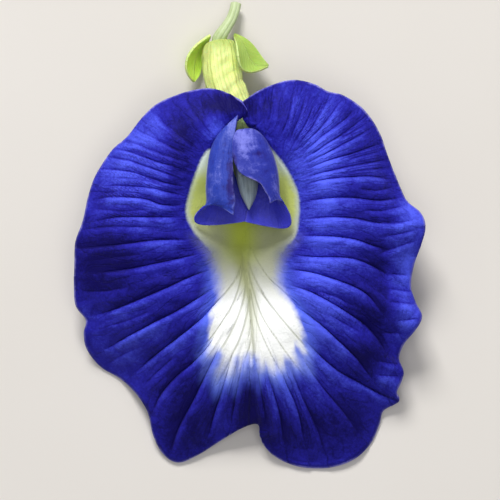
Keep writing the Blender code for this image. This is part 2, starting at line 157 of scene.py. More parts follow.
# %% Margin of the banner
MARGIN = (
    (-0.5, 19, 10, 0), (1.3, 20.2, 10, 0.2), (3.5, 21.2, 9.2, 0.45), (6, 21.7, 8.6, 0.8),
    (8.6, 21.2, 8, 1.1), (10.2, 20.3, 7.6, 1.35), (12.2, 19.8, 7.2, 1.6), (14.2, 18.6, 7, 1.9),
    (15.8, 16.9, 6.6, 2.2), (17.1, 14.6, 6.4, 2.5), (18, 12, 6.2, 2.9), (19.1, 9.2, 6.3, 3.3),
    (20.4, 6.3, 6.8, 3.8), (22.2, 4.7, 7.6, 4.2), (22.8, 3, 7.9, 4.6), (22.3, 0.8, 7.2, 5),
    (21.4, -1.8, 6, 5.5), (21, -4.6, 5.2, 6), (21.6, -6.8, 5.8, 6.3), (22.4, -8.6, 6.8, 6.55),
    (21.6, -10.2, 6.2, 6.75), (20.2, -12, 4.4, 6.95), (19.5, -14, 3.6, 7.15), (20.1, -16, 4, 7.35),
    (19.3, -18.3, 2.9, 7.6), (19.6, -19.5, 1.7, 7.7), (17.6, -20.7, 0.7, 7.85), (17, -22.6, 0.3, 7.98),
    (15.9, -25, 0.3, 8.15), (13.8, -27, 0.5, 8.3), (10.5, -28.1, 0.3, 8.48), (6.5, -27.9, 0.3, 8.65),
    (3.5, -26.5, 0.9, 8.78), (1.9, -24.6, 1.8, 8.9), (1.4, -22.4, 3, 9), (-0.6, -22.9, 2.6, 9.1),
    (-3.5, -24.6, 1.4, 9.25), (-6.5, -26.5, 0.5, 9.42), (-9, -27.4, 0.3, 9.58), (-10.9, -26.2, 0.5, 9.72),
    (-12.1, -23.8, 1.2, 9.85), (-12.7, -21, 1.7, 10), (-14.2, -18.6, 1.4, 10.15),
    (-16.3, -16.6, 0.4, 10.35), (-18.9, -15, 0.4, 10.55), (-20.6, -12.8, 1.6, 10.8),
    (-21, -10.8, 2.9, 11), (-20.7, -9, 3.5, 11.25), (-22, -7.1, 4.2, 11.5), (-22.2, -4.5, 5, 11.9),
    (-22.1, -1.5, 5.4, 12.3), (-22, 1, 5.6, 12.75), (-21, 3.8, 6, 13.3), (-20.4, 6.5, 6, 13.8),
    (-19.7, 8.8, 6.2, 14.2), (-18.7, 10.7, 6.2, 14.55), (-17.2, 12.8, 6.2, 14.95),
    (-15.2, 14.6, 6.4, 15.35), (-13.4, 16.9, 6.6, 15.8), (-11.6, 18.6, 6.8, 16.2),
    (-9.2, 19.7, 7.2, 16.6), (-6.8, 20.4, 7.8, 17), (-4.5, 20.6, 8.6, 17.35), (-2.4, 20, 9.6, 17.7),
    (-0.7, 19, 10.7, 18),
)
print("points on the margin:", len(MARGIN))

# %% [markdown]
# The claw and the funnel are round, so they need no tables. The claw wraps further round the axis at
# each station, and the funnel is a leaning ring that is open at the slit. One curve through all the
# stations for each vein makes the net of the whole petal.

# %% Net of the banner
CLAW_TURNS = (62, 92, 122, 140)  # how far each claw station reaches to both sides, in degrees
CLAW_TAPER = 0.1
FUNNEL_TURN, FUNNEL_SAG = 158, 0.35
FUNNEL_MIDDLE, FUNNEL_HALF = (-0.5, 9.5, 5.6), (4.2, 5.9, 2)
BANNER_ROWS = (3, 3, 3, 6, 11, 22, 26)  # rows from each station to the next
BANNER_COLUMNS = 600


def banner_net():
    """Points of the banner, the station number of each row, and the place of each column on the lip."""
    fine_at = np.linspace(0, len(MARGIN) - 1, 1281)
    fine = through(MARGIN, fine_at)
    length = np.concatenate([[0], np.cumsum(np.linalg.norm(np.diff(fine[:, :2], axis=0), axis=1))])
    margin = through(MARGIN, np.interp(np.linspace(0, length[-1], BANNER_COLUMNS + 1), length, fine_at))
    vein = margin[:, 3]
    middle = (len(LIP) - 1) / 2
    turn = (middle - vein) / middle
    radii = (BANNER_R - CLAW_TAPER, BANNER_R, BANNER_R, BANNER_R)
    claw = [around(*row) for row in zip(CLAW_STATIONS, (turn * most for most in CLAW_TURNS), radii)]
    sine, cosine = np.sin(np.radians(turn * FUNNEL_TURN)), np.cos(np.radians(turn * FUNNEL_TURN))
    ring = np.stack([sine, -cosine, -cosine], -1) * FUNNEL_HALF
    funnel = FUNNEL_MIDDLE + ring + FUNNEL_SAG * np.outer(sine**2, (0, 0, 1))
    stations = np.stack([*claw, funnel, through(LIP, vein), through(MIDWAY, vein), margin[:, :3]])
    rows = np.concatenate([k + np.arange(n) / n for k, n in enumerate(BANNER_ROWS)] + [[len(BANNER_ROWS)]])
    return through(stations, rows), rows, vein


banner, banner_rows, banner_vein = banner_net()
low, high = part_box("banner")
middle = (banner.reshape(-1, 3).min(0) + banner.reshape(-1, 3).max(0)) / 2
HOME = (np.array(low) + np.array(high)) / 2 / MM - middle
print("banner points:", banner.shape, "flower's own origin in the frame, mm:", HOME.round(2))

# %% [markdown]
# ## Measuring from lines drawn on the petal
#
# The creases, the veins and the pale patch are all drawn as short lines, in millimetres on the flower.
# Everything else follows from one measurement: how far each point of the petal lies from a line, and
# on which side of it. A crease is then a height that depends on that distance.

# %% Distance from a line
def measure(points, keys, pieces=6):
    """Distance from a drawn line, positive on the left of it, and the share gone along it."""
    line = through(keys, np.linspace(0, len(keys) - 1, (len(keys) - 1) * pieces + 1))
    start, step = line[:-1], np.diff(line, axis=0)
    length = np.linalg.norm(step, axis=1)
    gone = np.concatenate([[0], np.cumsum(length)])
    best, side, share = np.full(len(points), np.inf), np.ones(len(points)), np.zeros(len(points))
    for a, d, size, before in zip(start, step, length, gone):
        offset = points - a
        t = np.clip(offset @ d / size**2, 0, 1)
        apart = np.linalg.norm(offset - t[:, None] * d, axis=1)
        nearer = apart < best
        best = np.where(nearer, apart, best)
        side = np.where(nearer, np.sign(d[0] * offset[:, 1] - d[1] * offset[:, 0]), side)
        share = np.where(nearer, (before + t * size) / gone[-1], share)
    return best * side, share


def inside(points, outline):
    """True for the points inside a closed outline."""
    found = np.zeros(len(points), bool)
    x, y = points.T
    for (ax, ay), (bx, by) in zip(outline, np.roll(outline, -1, axis=0)):
        crosses = (ay > y) != (by > y)
        with np.errstate(divide="ignore", invalid="ignore"):
            found ^= crosses & (x < (bx - ax) * (y - ay) / (by - ay) + ax)
    return found


face = banner[..., :2].reshape(-1, 2)
print("points to measure from:", len(face))

# %% [markdown]
# ## Creases of the banner
#
# The banner unfolds from a tight bud, so it keeps the creases it was packed with. They fan out from
# the throat. Each line below is the bottom of one crease, with its strength. These are the creases of
# the left half, from the slit down to the notch in the lower margin.

# %% Creases of the left half
LEFT_CREASES = (
    (0.2, (-1.2, 17.2), (-1.6, 18.4), (-2, 19.6)),
    (0.2, (-2.6, 16.4), (-3.4, 18), (-4.2, 19.6), (-4.4, 20.5)),
    (0.3, (-4.6, 14.6), (-6, 16.6), (-7.4, 18.6), (-8, 20)),
    (0.25, (-6.2, 13), (-8.6, 14.6), (-10.8, 16.6), (-12, 18)),
    (0.4, (-7.2, 12), (-9.8, 13.2), (-12.6, 14.6), (-14.6, 15.8)),
    (0.5, (-8, 11.2), (-11, 12.3), (-13.8, 13.4), (-16.2, 14.2)),
    (0.9, (-8.4, 10.4), (-11, 11.1), (-13, 11.8), (-15, 12.5), (-16.8, 12.9)),
    (0.8, (-8.5, 9.2), (-11, 10), (-13, 10.7), (-15, 11.4), (-17, 11.8)),
    (0.9, (-8.2, 8.1), (-10.5, 8.6), (-13, 9.4), (-15, 10), (-18.3, 10.4)),
    (0.9, (-8.2, 7), (-10.5, 7.5), (-13, 8), (-18, 8.25)),
    (1.1, (-8.2, 5.6), (-11, 5.8), (-13, 6.5), (-17, 6.8), (-19.6, 6.4)),
    (1.1, (-8, 4.15), (-12, 4.2), (-16.5, 4.2), (-19, 3.7)),
    (1.1, (-7, 1.35), (-11, 1.3), (-14, 1), (-18, 0.5), (-21.5, 0.2)),
    (1.1, (-5.6, -0.4), (-9, -1.15), (-12, -1.8), (-15, -2.4), (-19, -2.9)),
    (1.3, (-4.6, -2.6), (-7, -3.3), (-10, -4.7), (-13, -6), (-16.5, -7.4), (-19, -8.2)),
    (1.3, (-4, -4.8), (-6, -6), (-9, -7.8), (-12, -9.3), (-15, -10.9), (-18, -12.6)),
    (1.3, (-3, -5.4), (-4, -6.8), (-6, -8.9), (-9, -11.3), (-12, -13.7), (-14.2, -15.6)),
    (1.3, (-3.5, -10), (-5, -12.4), (-7, -14.5), (-9, -16.2), (-11, -18.5), (-12, -20.6)),
    (1.3, (-3, -11.5), (-4, -13.4), (-5.4, -16.2), (-7, -19.5), (-8.6, -22.5), (-9.8, -25.8)),
    (1.2, (-1.6, -12.5), (-2.3, -15), (-3.2, -18), (-4.2, -21), (-4.9, -23.4)),
    (0.7, (-0.3, -13), (-0.9, -16), (-1.5, -19), (-2, -22)),
)
print("creases of the left half:", len(LEFT_CREASES))

# %% [markdown]
# The right half isn't a mirror image of the left. Its margin is pulled into more ruffles.

# %% Creases of the right half
RIGHT_CREASES = (
    (0.2, (1.2, 16.8), (1.2, 18), (1.2, 19.6)), (0.3, (2.6, 15.8), (3, 17.6), (3.2, 19.6), (3.4, 21)),
    (0.6, (4.3, 14.5), (5.3, 17), (5.9, 20)), (0.6, (5.4, 14), (6.6, 16.8), (7.3, 19.2)),
    (0.6, (6, 13.6), (7.4, 16), (8.6, 18.8)), (0.7, (6.4, 13.2), (8.4, 15.8), (9.8, 18.3), (10.4, 19.6)),
    (0.7, (6.6, 12.7), (9, 15.2), (10.8, 17.4), (11.8, 18.8)),
    (0.8, (6.8, 12.1), (9.5, 14.4), (12, 16.3), (13.3, 17.5)),
    (0.8, (7, 11.5), (10, 13.4), (12.3, 14.9), (14.5, 16.6), (15.2, 17.2)),
    (0.8, (7.2, 10.9), (10, 12.3), (13, 13.9), (15.5, 15.4)),
    (0.9, (7.2, 10.1), (10, 11.3), (13, 12.2), (15, 12.9), (17, 13.6)),
    (0.9, (7.2, 9.2), (10, 10), (13, 10.6), (15.5, 11.1), (18, 11.6)),
    (0.9, (7.3, 8.4), (10, 9), (13, 9.3), (15.5, 9.4), (18.5, 9)),
    (1, (7.3, 6.2), (10, 6.6), (13, 6.7), (15, 6.5), (17, 6.3), (19.8, 6.7)),
    (1.1, (7.2, 3.9), (9, 4.1), (11.5, 4.2), (14, 4), (16.5, 3.5), (19, 3.3)),
    (1.1, (6.6, 1.8), (9, 1.8), (11.5, 1.7), (14, 1.3), (16, 0.6), (18, 0.1)),
    (1.1, (5.6, -0.5), (8.5, -0.9), (11, -0.9), (13.5, -1.1), (16, -2), (18, -3.2)),
    (1.2, (4.9, -2.4), (8, -2.8), (10.5, -3.5), (13.5, -4.6), (15.5, -5.8), (17, -7.6)),
    (1.2, (4.9, -4.3), (7.5, -5.1), (10, -6.3), (12.5, -7.8), (15, -9.5), (16.8, -11.5), (17.8, -13.2)),
    (1.3, (5, -6), (7, -7.7), (9.5, -9.6), (12, -11.9), (14, -13.8), (15.6, -15.8)),
    (1.3, (7.4, -11.5), (9, -13.2), (11.5, -15.4), (14, -16.8), (17, -18.4), (19, -19.2)),
    (0.7, (6.6, -13), (8, -15.3), (10, -18), (12.5, -21), (14.3, -23.5)),
    (0.7, (5, -14), (6, -16.2), (7.4, -19.5), (9, -23), (10, -26)),
    (1, (4, -14.5), (5, -17), (6.5, -20.5), (7.4, -24.5)),
    (1, (2.4, -15), (3.2, -17.6), (4.2, -21), (4.8, -24.8)),
    (0.6, (1.3, -15), (1.9, -18.5), (2.6, -22.5)),
)
print("creases of the right half:", len(RIGHT_CREASES))

# %% [markdown]
# Short creases start between the long ones and run out to the margin.

# %% Short creases
SHORT_CREASES = (
    (0.5, (-12, 5.2), (-16, 5), (-19.8, 5.3)), (0.5, (-12, 2.9), (-15, 3), (-18, 3), (-21, 2.6)),
    (0.4, (-13, -0.4), (-16, -0.8), (-20, -1.4)), (0.4, (-15, -4.6), (-18, -5.2), (-21, -5.2)),
    (0.4, (-10, 8.1), (-14, 9), (-18, 9.3)), (0.4, (-13, 7.2), (-16, 7.4), (-19, 7.3)),
    (0.4, (-14.5, 13.2), (-16, 13.6), (-17.2, 13.7)), (0.4, (-9.5, 15), (-10.6, 16.2), (-11.4, 17.4)),
    (0.5, (-9, -13.4), (-11, -15.2), (-13, -17.2)), (0.4, (-13.5, -12.2), (-16, -13.4), (-18, -14.6)),
    (0.4, (-12, -7.6), (-15, -8.9), (-17.5, -9.6)), (0.5, (14, 7.9), (16.5, 7.6), (18.5, 8)),
    (0.5, (14.5, 5.2), (17, 5), (20, 5.6)), (0.5, (17, 3.6), (19.5, 3.5), (21.5, 3.9)),
    (0.5, (17, 1.8), (19, 2), (21.5, 2.6)), (0.5, (16.5, -0.6), (19, 0.4), (21.5, 1.2)),
    (0.6, (18, -3), (20.5, -3.2)), (0.6, (18, -5), (21, -5.4)), (0.6, (18, -6.6), (21.2, -7)),
    (0.6, (19, -9), (22, -8.8)), (0.6, (17.5, -10.5), (20, -10.6)), (0.6, (17, -14.2), (19.5, -14.8)),
    (0.6, (16.5, -16), (19.8, -16.2)), (0.5, (12.5, 11.4), (14.5, 12), (16.8, 12.6)),
    (0.5, (13.2, 10), (15.5, 10.3), (17.8, 10.4)), (0.5, (11.5, 14), (13.4, 15), (15, 16)),
    (0.5, (8, 16.2), (9, 17.6), (9.6, 19)), (0.5, (10.5, -8.2), (12.5, -9.4), (14.5, -10.6)),
    (0.5, (9, -5.2), (11.5, -6), (13.5, -7)),
)
print("short creases:", len(SHORT_CREASES))

# %% [markdown]
# The petal rises into a rounded ridge on the lower side of each crease. The ridge faces the light and
# the other side is in shade, so the same line gives a height and a tone of painted highlight and shade.

# %% Height beside a crease
CREASE_HEIGHT = 0.36
CREST, GROOVE, SHADE = 1.5, 0.55, 0.7  # strength of the ridge, the groove and the shade


def flank(side, start, width):
    """A rise over start beside a crease that fades again over width. It is 0 on the other side."""
    return (1 - np.exp(-((side / start) ** 2))) * np.exp(-np.abs(side) / width) * (side > 0)


def crease(points, strength, keys, lower):
    """Height, painted shading, distance and force beside a crease. lower is 1 if its lower side is on its
    left.
    """
    side, share = measure(points, keys)
    side = side * lower
    away = np.abs(side)
    height = CREST * flank(side, 0.35, 1.7) - GROOVE * np.exp(-away / 0.45)
    lit = flank(side, 0.16, 1.2) - SHADE * np.exp(-away / 0.6) * (side <= 0)
    force = strength * smoothstep(share, 0, 0.22) * (1 - 0.7 * smoothstep(share, 0.8, 1))
    return force * height, force * lit, side, force


FAR = 9  # mm, further than any crease reaches
LIP_STATION = len(CLAW_STATIONS) + 1  # the funnel comes between the claw and the lip
out = np.repeat(banner_rows - LIP_STATION, BANNER_COLUMNS + 1)
relief, pleat_shading = np.zeros(len(face)), np.zeros(len(face))
nearest, depth = np.full(len(face), FAR), np.zeros(len(face))
left_sides, right_sides = [], []
lines = [(1, line, left_sides) for line in LEFT_CREASES]
lines += [(-1, line, right_sides) for line in RIGHT_CREASES]
lines += [(1 if line[1][0] < 0 else -1, line, []) for line in SHORT_CREASES]
for lower, (strength, *keys), sides in lines:
    height, lit, side, force = crease(face, strength, keys, lower)
    relief += height
    pleat_shading += lit
    closer = np.abs(side) < np.abs(nearest)
    nearest, depth = np.where(closer, side, nearest), np.where(closer, force, depth)
    sides.append(side)
print("relief of the creases from", relief.min().round(2), "to", relief.max().round(2))

# %% [markdown]
# Between the creases run finer wrinkles. They follow the creases on both sides, so they need a
# measure that is a whole number on each main crease and grows evenly between two of them. Noise that
# changes quickly with that measure, and slowly along the petal, gives wrinkles that flow the right way.

# %% Fine wrinkles
from mathutils import Vector, noise


def flow_between(sides):
    """How many long creases lie above each point, with the share of the way to the next one."""
    sides = np.array(sides)
    above = np.clip((sides >= 0).sum(0) - 1, 0, len(sides) - 2)
    first = np.take_along_axis(sides, above[None], 0)[0]
    second = np.take_along_axis(sides, above[None] + 1, 0)[0]
    gap = np.maximum(first - second, 0.3)
    return above + np.clip(first / gap, -6, 6)


def wrinkle(across, along, seed):
    """Soft noise between about -1 and 1, the same on every run."""
    return np.array([noise.noise(Vector((a, b, seed))) for a, b in zip(across, along)])


THROAT = np.array((0.3, 4))
APART = 40  # keeps the two halves' numbers apart, so that their wrinkles differ
reach = np.linalg.norm(face - THROAT, axis=1)
fan = np.arctan2(face[:, 0] - THROAT[0], THROAT[1] - face[:, 1])
flow = np.where(fan < 0, flow_between(left_sides), APART + flow_between(right_sides))
fine = 0.35 * wrinkle(flow * 1.7, reach * 0.2, 1.5) + 0.35 * wrinkle(flow * 3.4, reach * 0.5, 4.5)
fine += 0.35 * wrinkle(flow * 1.3, reach * 0.8, 8.5)
started = smoothstep(out, 0, 0.2)
relief, pleat_shading = (relief + fine) * started, pleat_shading * started
banner[..., 2] += CREASE_HEIGHT * relief.reshape(banner.shape[:2])
print("with the wrinkles, mm:", (CREASE_HEIGHT * np.array((relief.min(), relief.max()))).round(2))

# %% [markdown]
# ## The pale throat and its veins
#
# The middle of the banner guides a bee: a yellow-green throat, and a white patch below it crossed by
# thin grey veins. One closed outline holds both. The petal's material turns pale inside it, and how
# fast depends on the distance from the outline.

# %% Pale patch
PALE = (
    (2.6, 13.6), (4.75, 11), (6.1, 8.6), (6.7, 6.6), (6.7, 4), (6.3, 1.8), (5.2, 0.5), (4.2, -0.9),
    (3.9, -2.6), (3.8, -4.1), (4.3, -5.4), (5.2, -6.6), (6.1, -8), (6.8, -9.6), (7.2, -11.2),
    (6.8, -11.4), (7.3, -12.8), (6.2, -12.8), (6.5, -14.9), (5.2, -14), (4.8, -15.6), (3.7, -14.2),
    (3.1, -15.2), (2.4, -14.4), (1.9, -15.4), (1.1, -13.9), (0.4, -14.4), (0, -13.4), (-0.8, -15.4),
    (-1.4, -14), (-2.1, -16.2), (-2.5, -14.2), (-3.9, -16.4), (-3.4, -13.6), (-4.5, -13.2), (-4.2, -11.6),
    (-4.5, -10.4), (-4.2, -9), (-4.3, -8.2), (-3.4, -6.3), (-3.4, -5), (-3.4, -3.9), (-3.8, -2.4),
    (-4.5, -0.7), (-5.6, 0.8), (-6.9, 2.4), (-7.9, 4.8), (-7.3, 7.8), (-6.3, 10.6), (-5.7, 11.9),
    (-4.8, 12.9), (-4, 12), (-3, 10), (1, 10),
)
PALE_VEINS = (
    (1.2, (0, 3.5), (-0.5, 1), (-0.5, -2), (0.1, -5.4), (0.5, -8.5), (0.8, -11.7), (0.9, -15)),
    (0.8, (-0.6, -1.8), (-1.3, -3.5), (-2.1, -4.7), (-3.1, -5.9), (-4.5, -7.2), (-6, -8.6)),
    (0.7, (-0.5, -2.4), (-0.8, -3.9), (-1.3, -5.6), (-2, -7.3), (-4, -10.4), (-6.4, -13.5)),
    (0.8, (0, -3.4), (-0.2, -5), (-0.7, -7.3), (-2, -10.4), (-3.8, -13.5), (-5, -15.6)),
    (0.8, (0.3, -5.2), (0.2, -6.8), (-0.1, -8.6), (-0.9, -11.3), (-2.5, -14.7), (-3.8, -17.2)),
    (0.6, (0.7, -10), (0.4, -12), (-0.2, -14), (-0.6, -16)),
    (0.6, (0.4, 0.5), (1.5, -1.7), (2.9, -3.7), (5.1, -5.7), (9.3, -9.5)),
    (0.7, (0.1, -1.4), (0.9, -3.5), (2.4, -6.2), (4.6, -9), (7.3, -12.1), (9.1, -13.9)),
    (0.6, (0.2, -3), (0.8, -5.2), (2, -8.6), (4, -11.7), (6.4, -15), (7.7, -16.6)),
    (0.5, (0.4, -5), (0.7, -6.6), (1.4, -9.5), (2.9, -13), (4.4, -15.7)),
)
outline = through(PALE + PALE[:1], np.linspace(0, len(PALE), len(PALE) * 5 + 1))
pale = np.abs(measure(face, outline, 1)[0]) * np.where(inside(face, outline), 1, -1)

pale_vein = np.full(len(face), FAR)
for strength, *keys in PALE_VEINS:
    pale_vein = np.minimum(pale_vein, np.abs(measure(face, keys)[0]) / strength)
print("points in the pale patch:", int((pale > 0).sum()))

# %% [markdown]
# ## Painted light and shade of the face
#
# The blue isn't lit evenly, and that light and shade is painted into the colour: the face is brighter
# with painted light where it faces the light, and folds and the lower lobes are darker with painted
# shade. A handful of soft round patches says where, in millimetres: the centre, the two radii, and how
# much lighter or darker.

# %% Painted light and shade patches
SHADING_PATCHES = (
    (8.5, 11, 3.5, 4, 0.3), (9, 4, 4, 4, 0.18), (8.5, -4, 3, 3.5, 0.18), (8.5, -10.5, 2.2, 2.5, 0.25),
    (-14, 14.5, 3.5, 2.5, 0.33), (-17, 10, 2.5, 2.5, 0.2), (21, 4, 2.5, 2.5, 0.3),
    (20.5, -2, 2, 2.5, 0.35), (20.5, -8, 1.8, 3, 0.3), (-4, 15.3, 1.6, 1.8, 0.3),
    (-5, -8.5, 2.5, 3, 0.08), (3.5, -17, 3.5, 2, 0.15), (-18, -1.5, 5, 4.2, -0.52),
    (-8.5, -6, 4.5, 5, -0.2), (-13, 5.5, 5, 3, -0.1), (16.5, -1, 2.2, 3, -0.18),
    (16, -9, 2.8, 5.5, -0.28), (16, -14.5, 3, 2.5, -0.28), (16.5, 5.5, 2.5, 6, -0.18),
    (15.5, 14.5, 3, 2.5, -0.16), (-3, 18.6, 3.2, 1.5, -0.45), (-7.8, 16, 1.8, 2.8, -0.3),
    (-8.6, 11.5, 1.5, 3, -0.22), (-7.5, -20, 6, 5, -0.32), (0.5, -19.5, 2.2, 4.5, -0.5),
    (10, -23.5, 6, 3.5, -0.25), (13.5, -20.5, 3.5, 3, -0.22), (2.5, 17.8, 2.5, 2, -0.14),
    (17.5, -16, 2, 2, 0.25), (13, 8.5, 3, 4, -0.14), (-8, -15.5, 2.5, 2.5, -0.2), (-8, -24.5, 3, 3, -0.2),
    (4, -24, 3, 3.5, -0.25),
)


def blobs(points, table):
    """The sum of round soft patches at each point."""
    total = np.zeros(len(points))
    for x, y, wide, high, amount in table:
        total += amount * np.exp(-(((points[:, 0] - x) / wide) ** 2) - ((points[:, 1] - y) / high) ** 2)
    return total


painted_shading = blobs(face, SHADING_PATCHES)
print("tone from", painted_shading.min().round(2), "to", painted_shading.max().round(2))

# %% [markdown]
# The materials need these numbers again, so all of them go onto the points of the mesh, with the
# distance from the margin along a vein and the plain place on the face, `wide` and `low`.

# %% Measures of the banner
steps = np.linalg.norm(np.diff(banner, axis=0), axis=2)
to_margin = np.concatenate([np.cumsum(steps[::-1], axis=0)[::-1], np.zeros((1, BANNER_COLUMNS + 1))])
measures = {
    "out": out, "across": np.tile(banner_vein, len(banner_rows)), "relief": relief, "pleat_shading": pleat_shading,
    "crease": nearest, "depth": depth, "painted_shading": painted_shading, "pale": pale, "vein": pale_vein, "margin": to_margin,
    "fan": fan, "reach": reach, "flow": flow, "low": face[:, 1], "wide": face[:, 0],
}
print("measures on each point of the banner:", ", ".join(measures))

# %% [markdown]
# ## From a net of points to a petal
#
# `sheet` joins a net of points into a mesh, stores the measures on its points and gives it a real
# thickness with the Solidify modifier. The modifier can give the underside and the cut rim their own
# materials, which a petal needs, because its back is paler than its face. Solid things such as the
# stalk use the same function with no thickness.

# %% Sheets
def add(name, data):
    """A new object in the scene."""
    made = bpy.data.objects.new(name, data)
    bpy.context.scene.collection.objects.link(made)
    return made


def sheet(name, net, materials, thickness, marks, closed=False):
    """A smooth mesh from a net of points in flower millimetres, put in its place in the frame."""
    number = np.arange(net.shape[0] * net.shape[1]).reshape(net.shape[:2])
    if closed:
        number = np.concatenate([number, number[:, :1]], axis=1)
    corners = number[:-1, :-1], number[:-1, 1:], number[1:, 1:], number[1:, :-1]
    points = (net.reshape(-1, 3) + HOME) * MM
    mesh = bpy.data.meshes.new(name)
    mesh.from_pydata(points.tolist(), [], np.stack(corners, -1).reshape(-1, 4).tolist())
    for mark, values in marks.items():
        stored = mesh.attributes.new(mark, "FLOAT", "POINT")
        stored.data.foreach_set("value", np.asarray(values, np.float32).reshape(-1))
    for material in materials:
        mesh.materials.append(material)
    mesh.shade_smooth()
    piece = add(name, mesh)
    if thickness:
        solid = piece.modifiers.new("Thickness", "SOLIDIFY")
        solid.thickness, solid.offset = thickness * MM, 0
        solid.material_offset = min(1, len(materials) - 1)
        solid.material_offset_rim = min(2, len(materials) - 1)
    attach(piece, "root")
    return piece


# %% [markdown]
# ## Writing materials as sums
#
# A Blender material is a net of nodes, but most of it is arithmetic: this measure times that, less
# some noise. `Wire` stands for one output socket and turns `+`, `-`, `*` and `/` into Math nodes, so
# that a material can be written and read as a formula.

# %% Wires
class Wire:
    """One output socket of a material. Arithmetic on it adds Math nodes."""

    def __init__(self, finish, socket):
        self.finish, self.socket = finish, socket

    def maths(self, operation, *values):
        return self.finish.node("ShaderNodeMath", {"operation": operation}, dict(enumerate(values)))

    def __add__(self, other):
        return self.maths("ADD", self, other)

    def __sub__(self, other):
        return self.maths("SUBTRACT", self, other)

    def __rsub__(self, other):
        return self.maths("SUBTRACT", other, self)

    def __mul__(self, other):
        return self.maths("MULTIPLY", self, other)

    def __truediv__(self, other):
        return self.maths("DIVIDE", self, other)

    __radd__, __rmul__ = __add__, __mul__

    def size(self):
        return self.maths("ABSOLUTE", self)

    def most(self, other):
        return self.maths("MAXIMUM", self, other)

    def rise(self, start, end):
        """0 before start and 1 after end, with a smooth step between. start may be the larger one."""
        if start > end:
            return 1 - self.rise(end, start)
        values = {"Value": self, "From Min": start, "From Max": end}
        return self.finish.node("ShaderNodeMapRange", {"interpolation_type": "SMOOTHSTEP"}, values)

    def hump(self, middle, width):
        """1 at middle, falling smoothly to 0 at width on both sides."""
        return (self - middle).size().rise(width, 0)

    def lines(self, each, width):
        """1 on evenly spaced lines, one for each step of the value, with their width in steps."""
        phase = self.maths("FRACT", self / each + 0.5) - 0.5
        return phase.size().rise(width, 0)


# %% [markdown]
# `Finish` is one material. Its `node` method adds any node: first its settings, because some settings
# change which sockets the node has, and then its values, which may be numbers, wires or colours.
# Colours are written from 0 to 255, as on a paint chart. `layers` paints one coat over another, each
# with the share that it covers.

# %% Finishes
def linear(colour):
    """A colour as Blender counts it, from the 0 to 255 of a paint chart."""
    shares = (value / 255 for value in colour)
    return tuple(v / 12.92 if v <= 0.04045 else ((v + 0.055) / 1.055) ** 2.4 for v in shares)


class Finish:
    """A material made of nodes."""

    def __init__(self, name, **constants):
        self.material = bpy.data.materials.new(name)
        self.material.use_nodes = True
        self.tree = self.material.node_tree
        self.shader = self.tree.nodes["Principled BSDF"].inputs
        for socket, value in constants.items():
            self.fill(self.shader[socket.replace("_", " ")], value)

    def fill(self, socket, value):
        if isinstance(value, Wire):
            self.tree.links.new(value.socket, socket)
        elif socket.type == "RGBA":
            socket.default_value = (*linear(value), 1)
        else:
            socket.default_value = value

    def node(self, kind, settings, values, out=0):
        made = self.tree.nodes.new(kind)
        for setting, value in settings.items():
            setattr(made, setting, value)
        for socket, value in values.items():
            self.fill(made.inputs[socket], value)
        return Wire(self, made.outputs[out])

    def marks(self, *names):
        """Measures stored on the mesh."""
        return [self.node("ShaderNodeAttribute", {"attribute_name": name}, {}, "Fac") for name in names]

    def place(self):
        """The point on the object, in millimetres."""
        point = self.node("ShaderNodeTexCoord", {}, {}, "Object")
        return self.node("ShaderNodeVectorMath", {"operation": "SCALE"}, {0: point, "Scale": 1 / MM})

    def noise(self, at, scale, detail):
        """Soft noise round 0, from about -0.5 to 0.5."""
        found = self.node("ShaderNodeTexNoise", {}, {"Vector": at, "Scale": scale, "Detail": detail})
        return found - 0.5

    def lumps(self, *kinds):
        """Noise all over the object. Each kind is its lumps in a millimetre and its detail."""
        place = self.place()
        return [self.noise(place, scale, detail) for scale, detail in kinds]

    def flow(self, across, along, seed=0, detail=1):
        """Noise that is stretched along a petal: across changes quickly and along slowly."""
        at = self.node("ShaderNodeCombineXYZ", {}, {0: across, 1: along, 2: seed})
        return self.noise(at, 1, detail)

    def blend(self, share, first, second):
        """first where share is 0, second where it is 1. Both are colours."""
        return self.node("ShaderNodeMix", {"data_type": "RGBA"}, {0: share, 6: first, 7: second}, 2)

    def layers(self, colour, *coats):
        """A colour under coats of others. Each coat is its share and its colour."""
        for share, coat in coats:
            colour = self.blend(share, colour, coat)
        return colour

    def finish(self, colour, roughness=None, height=None, depth=0.1):
        """Joins the colour, the roughness and a bump height in millimetres to the shader."""
        self.fill(self.shader["Base Color"], colour)
        if roughness is not None:
            self.fill(self.shader["Roughness"], roughness)
        if height is not None:
            bump = self.node("ShaderNodeBump", {}, {"Height": height, "Distance": depth * MM})
            self.fill(self.shader["Normal"], bump)
        return self.material


# %% [markdown]
# ## The shape of the pale patch
#
# The patch has a crisp side where the throat turns over its lip, and runs out in hairs and fingers
# below. So noise that follows the veins makes the distance from its outline ragged, and more so
# further down. `low` goes down to -28 at the lower margin.

# %% Patch
def patch_shape(f, grain):
    """How pale each place is, the inside of the throat, and the ragged edge with its hairs."""
    pale, fan, reach, low, out = f.marks("pale", "fan", "reach", "low", "out")
    feather, fray = low.rise(3, -2), low.rise(-6, -12)
    hairs = f.flow(fan * 8, reach * 0.12) + f.flow(fan * 22, reach * 0.15) * 0.5
    barbs = f.flow(fan * 18, reach * 1.6, 5, 3)
    ragged = pale + (hairs * (0.5 + fray * 2.6) + barbs * 0.45) * feather
    spread = 0.45 + low.rise(-10.5, -14) * 1.3 + low.rise(-7.5, -4) * 0.7
    edge = (ragged / spread).rise(-1.4, 0.8) * (1 - (low + hairs * 3).rise(-15.4, -18))
    white = (ragged + grain * 0.2).rise(-0.25, 0.25) * (1 - feather) + edge * feather
    inner = (out - low.rise(4, 7) * 0.5).rise(-1.2, -1.6)
    return white.most(inner), inner, ragged, edge, hairs
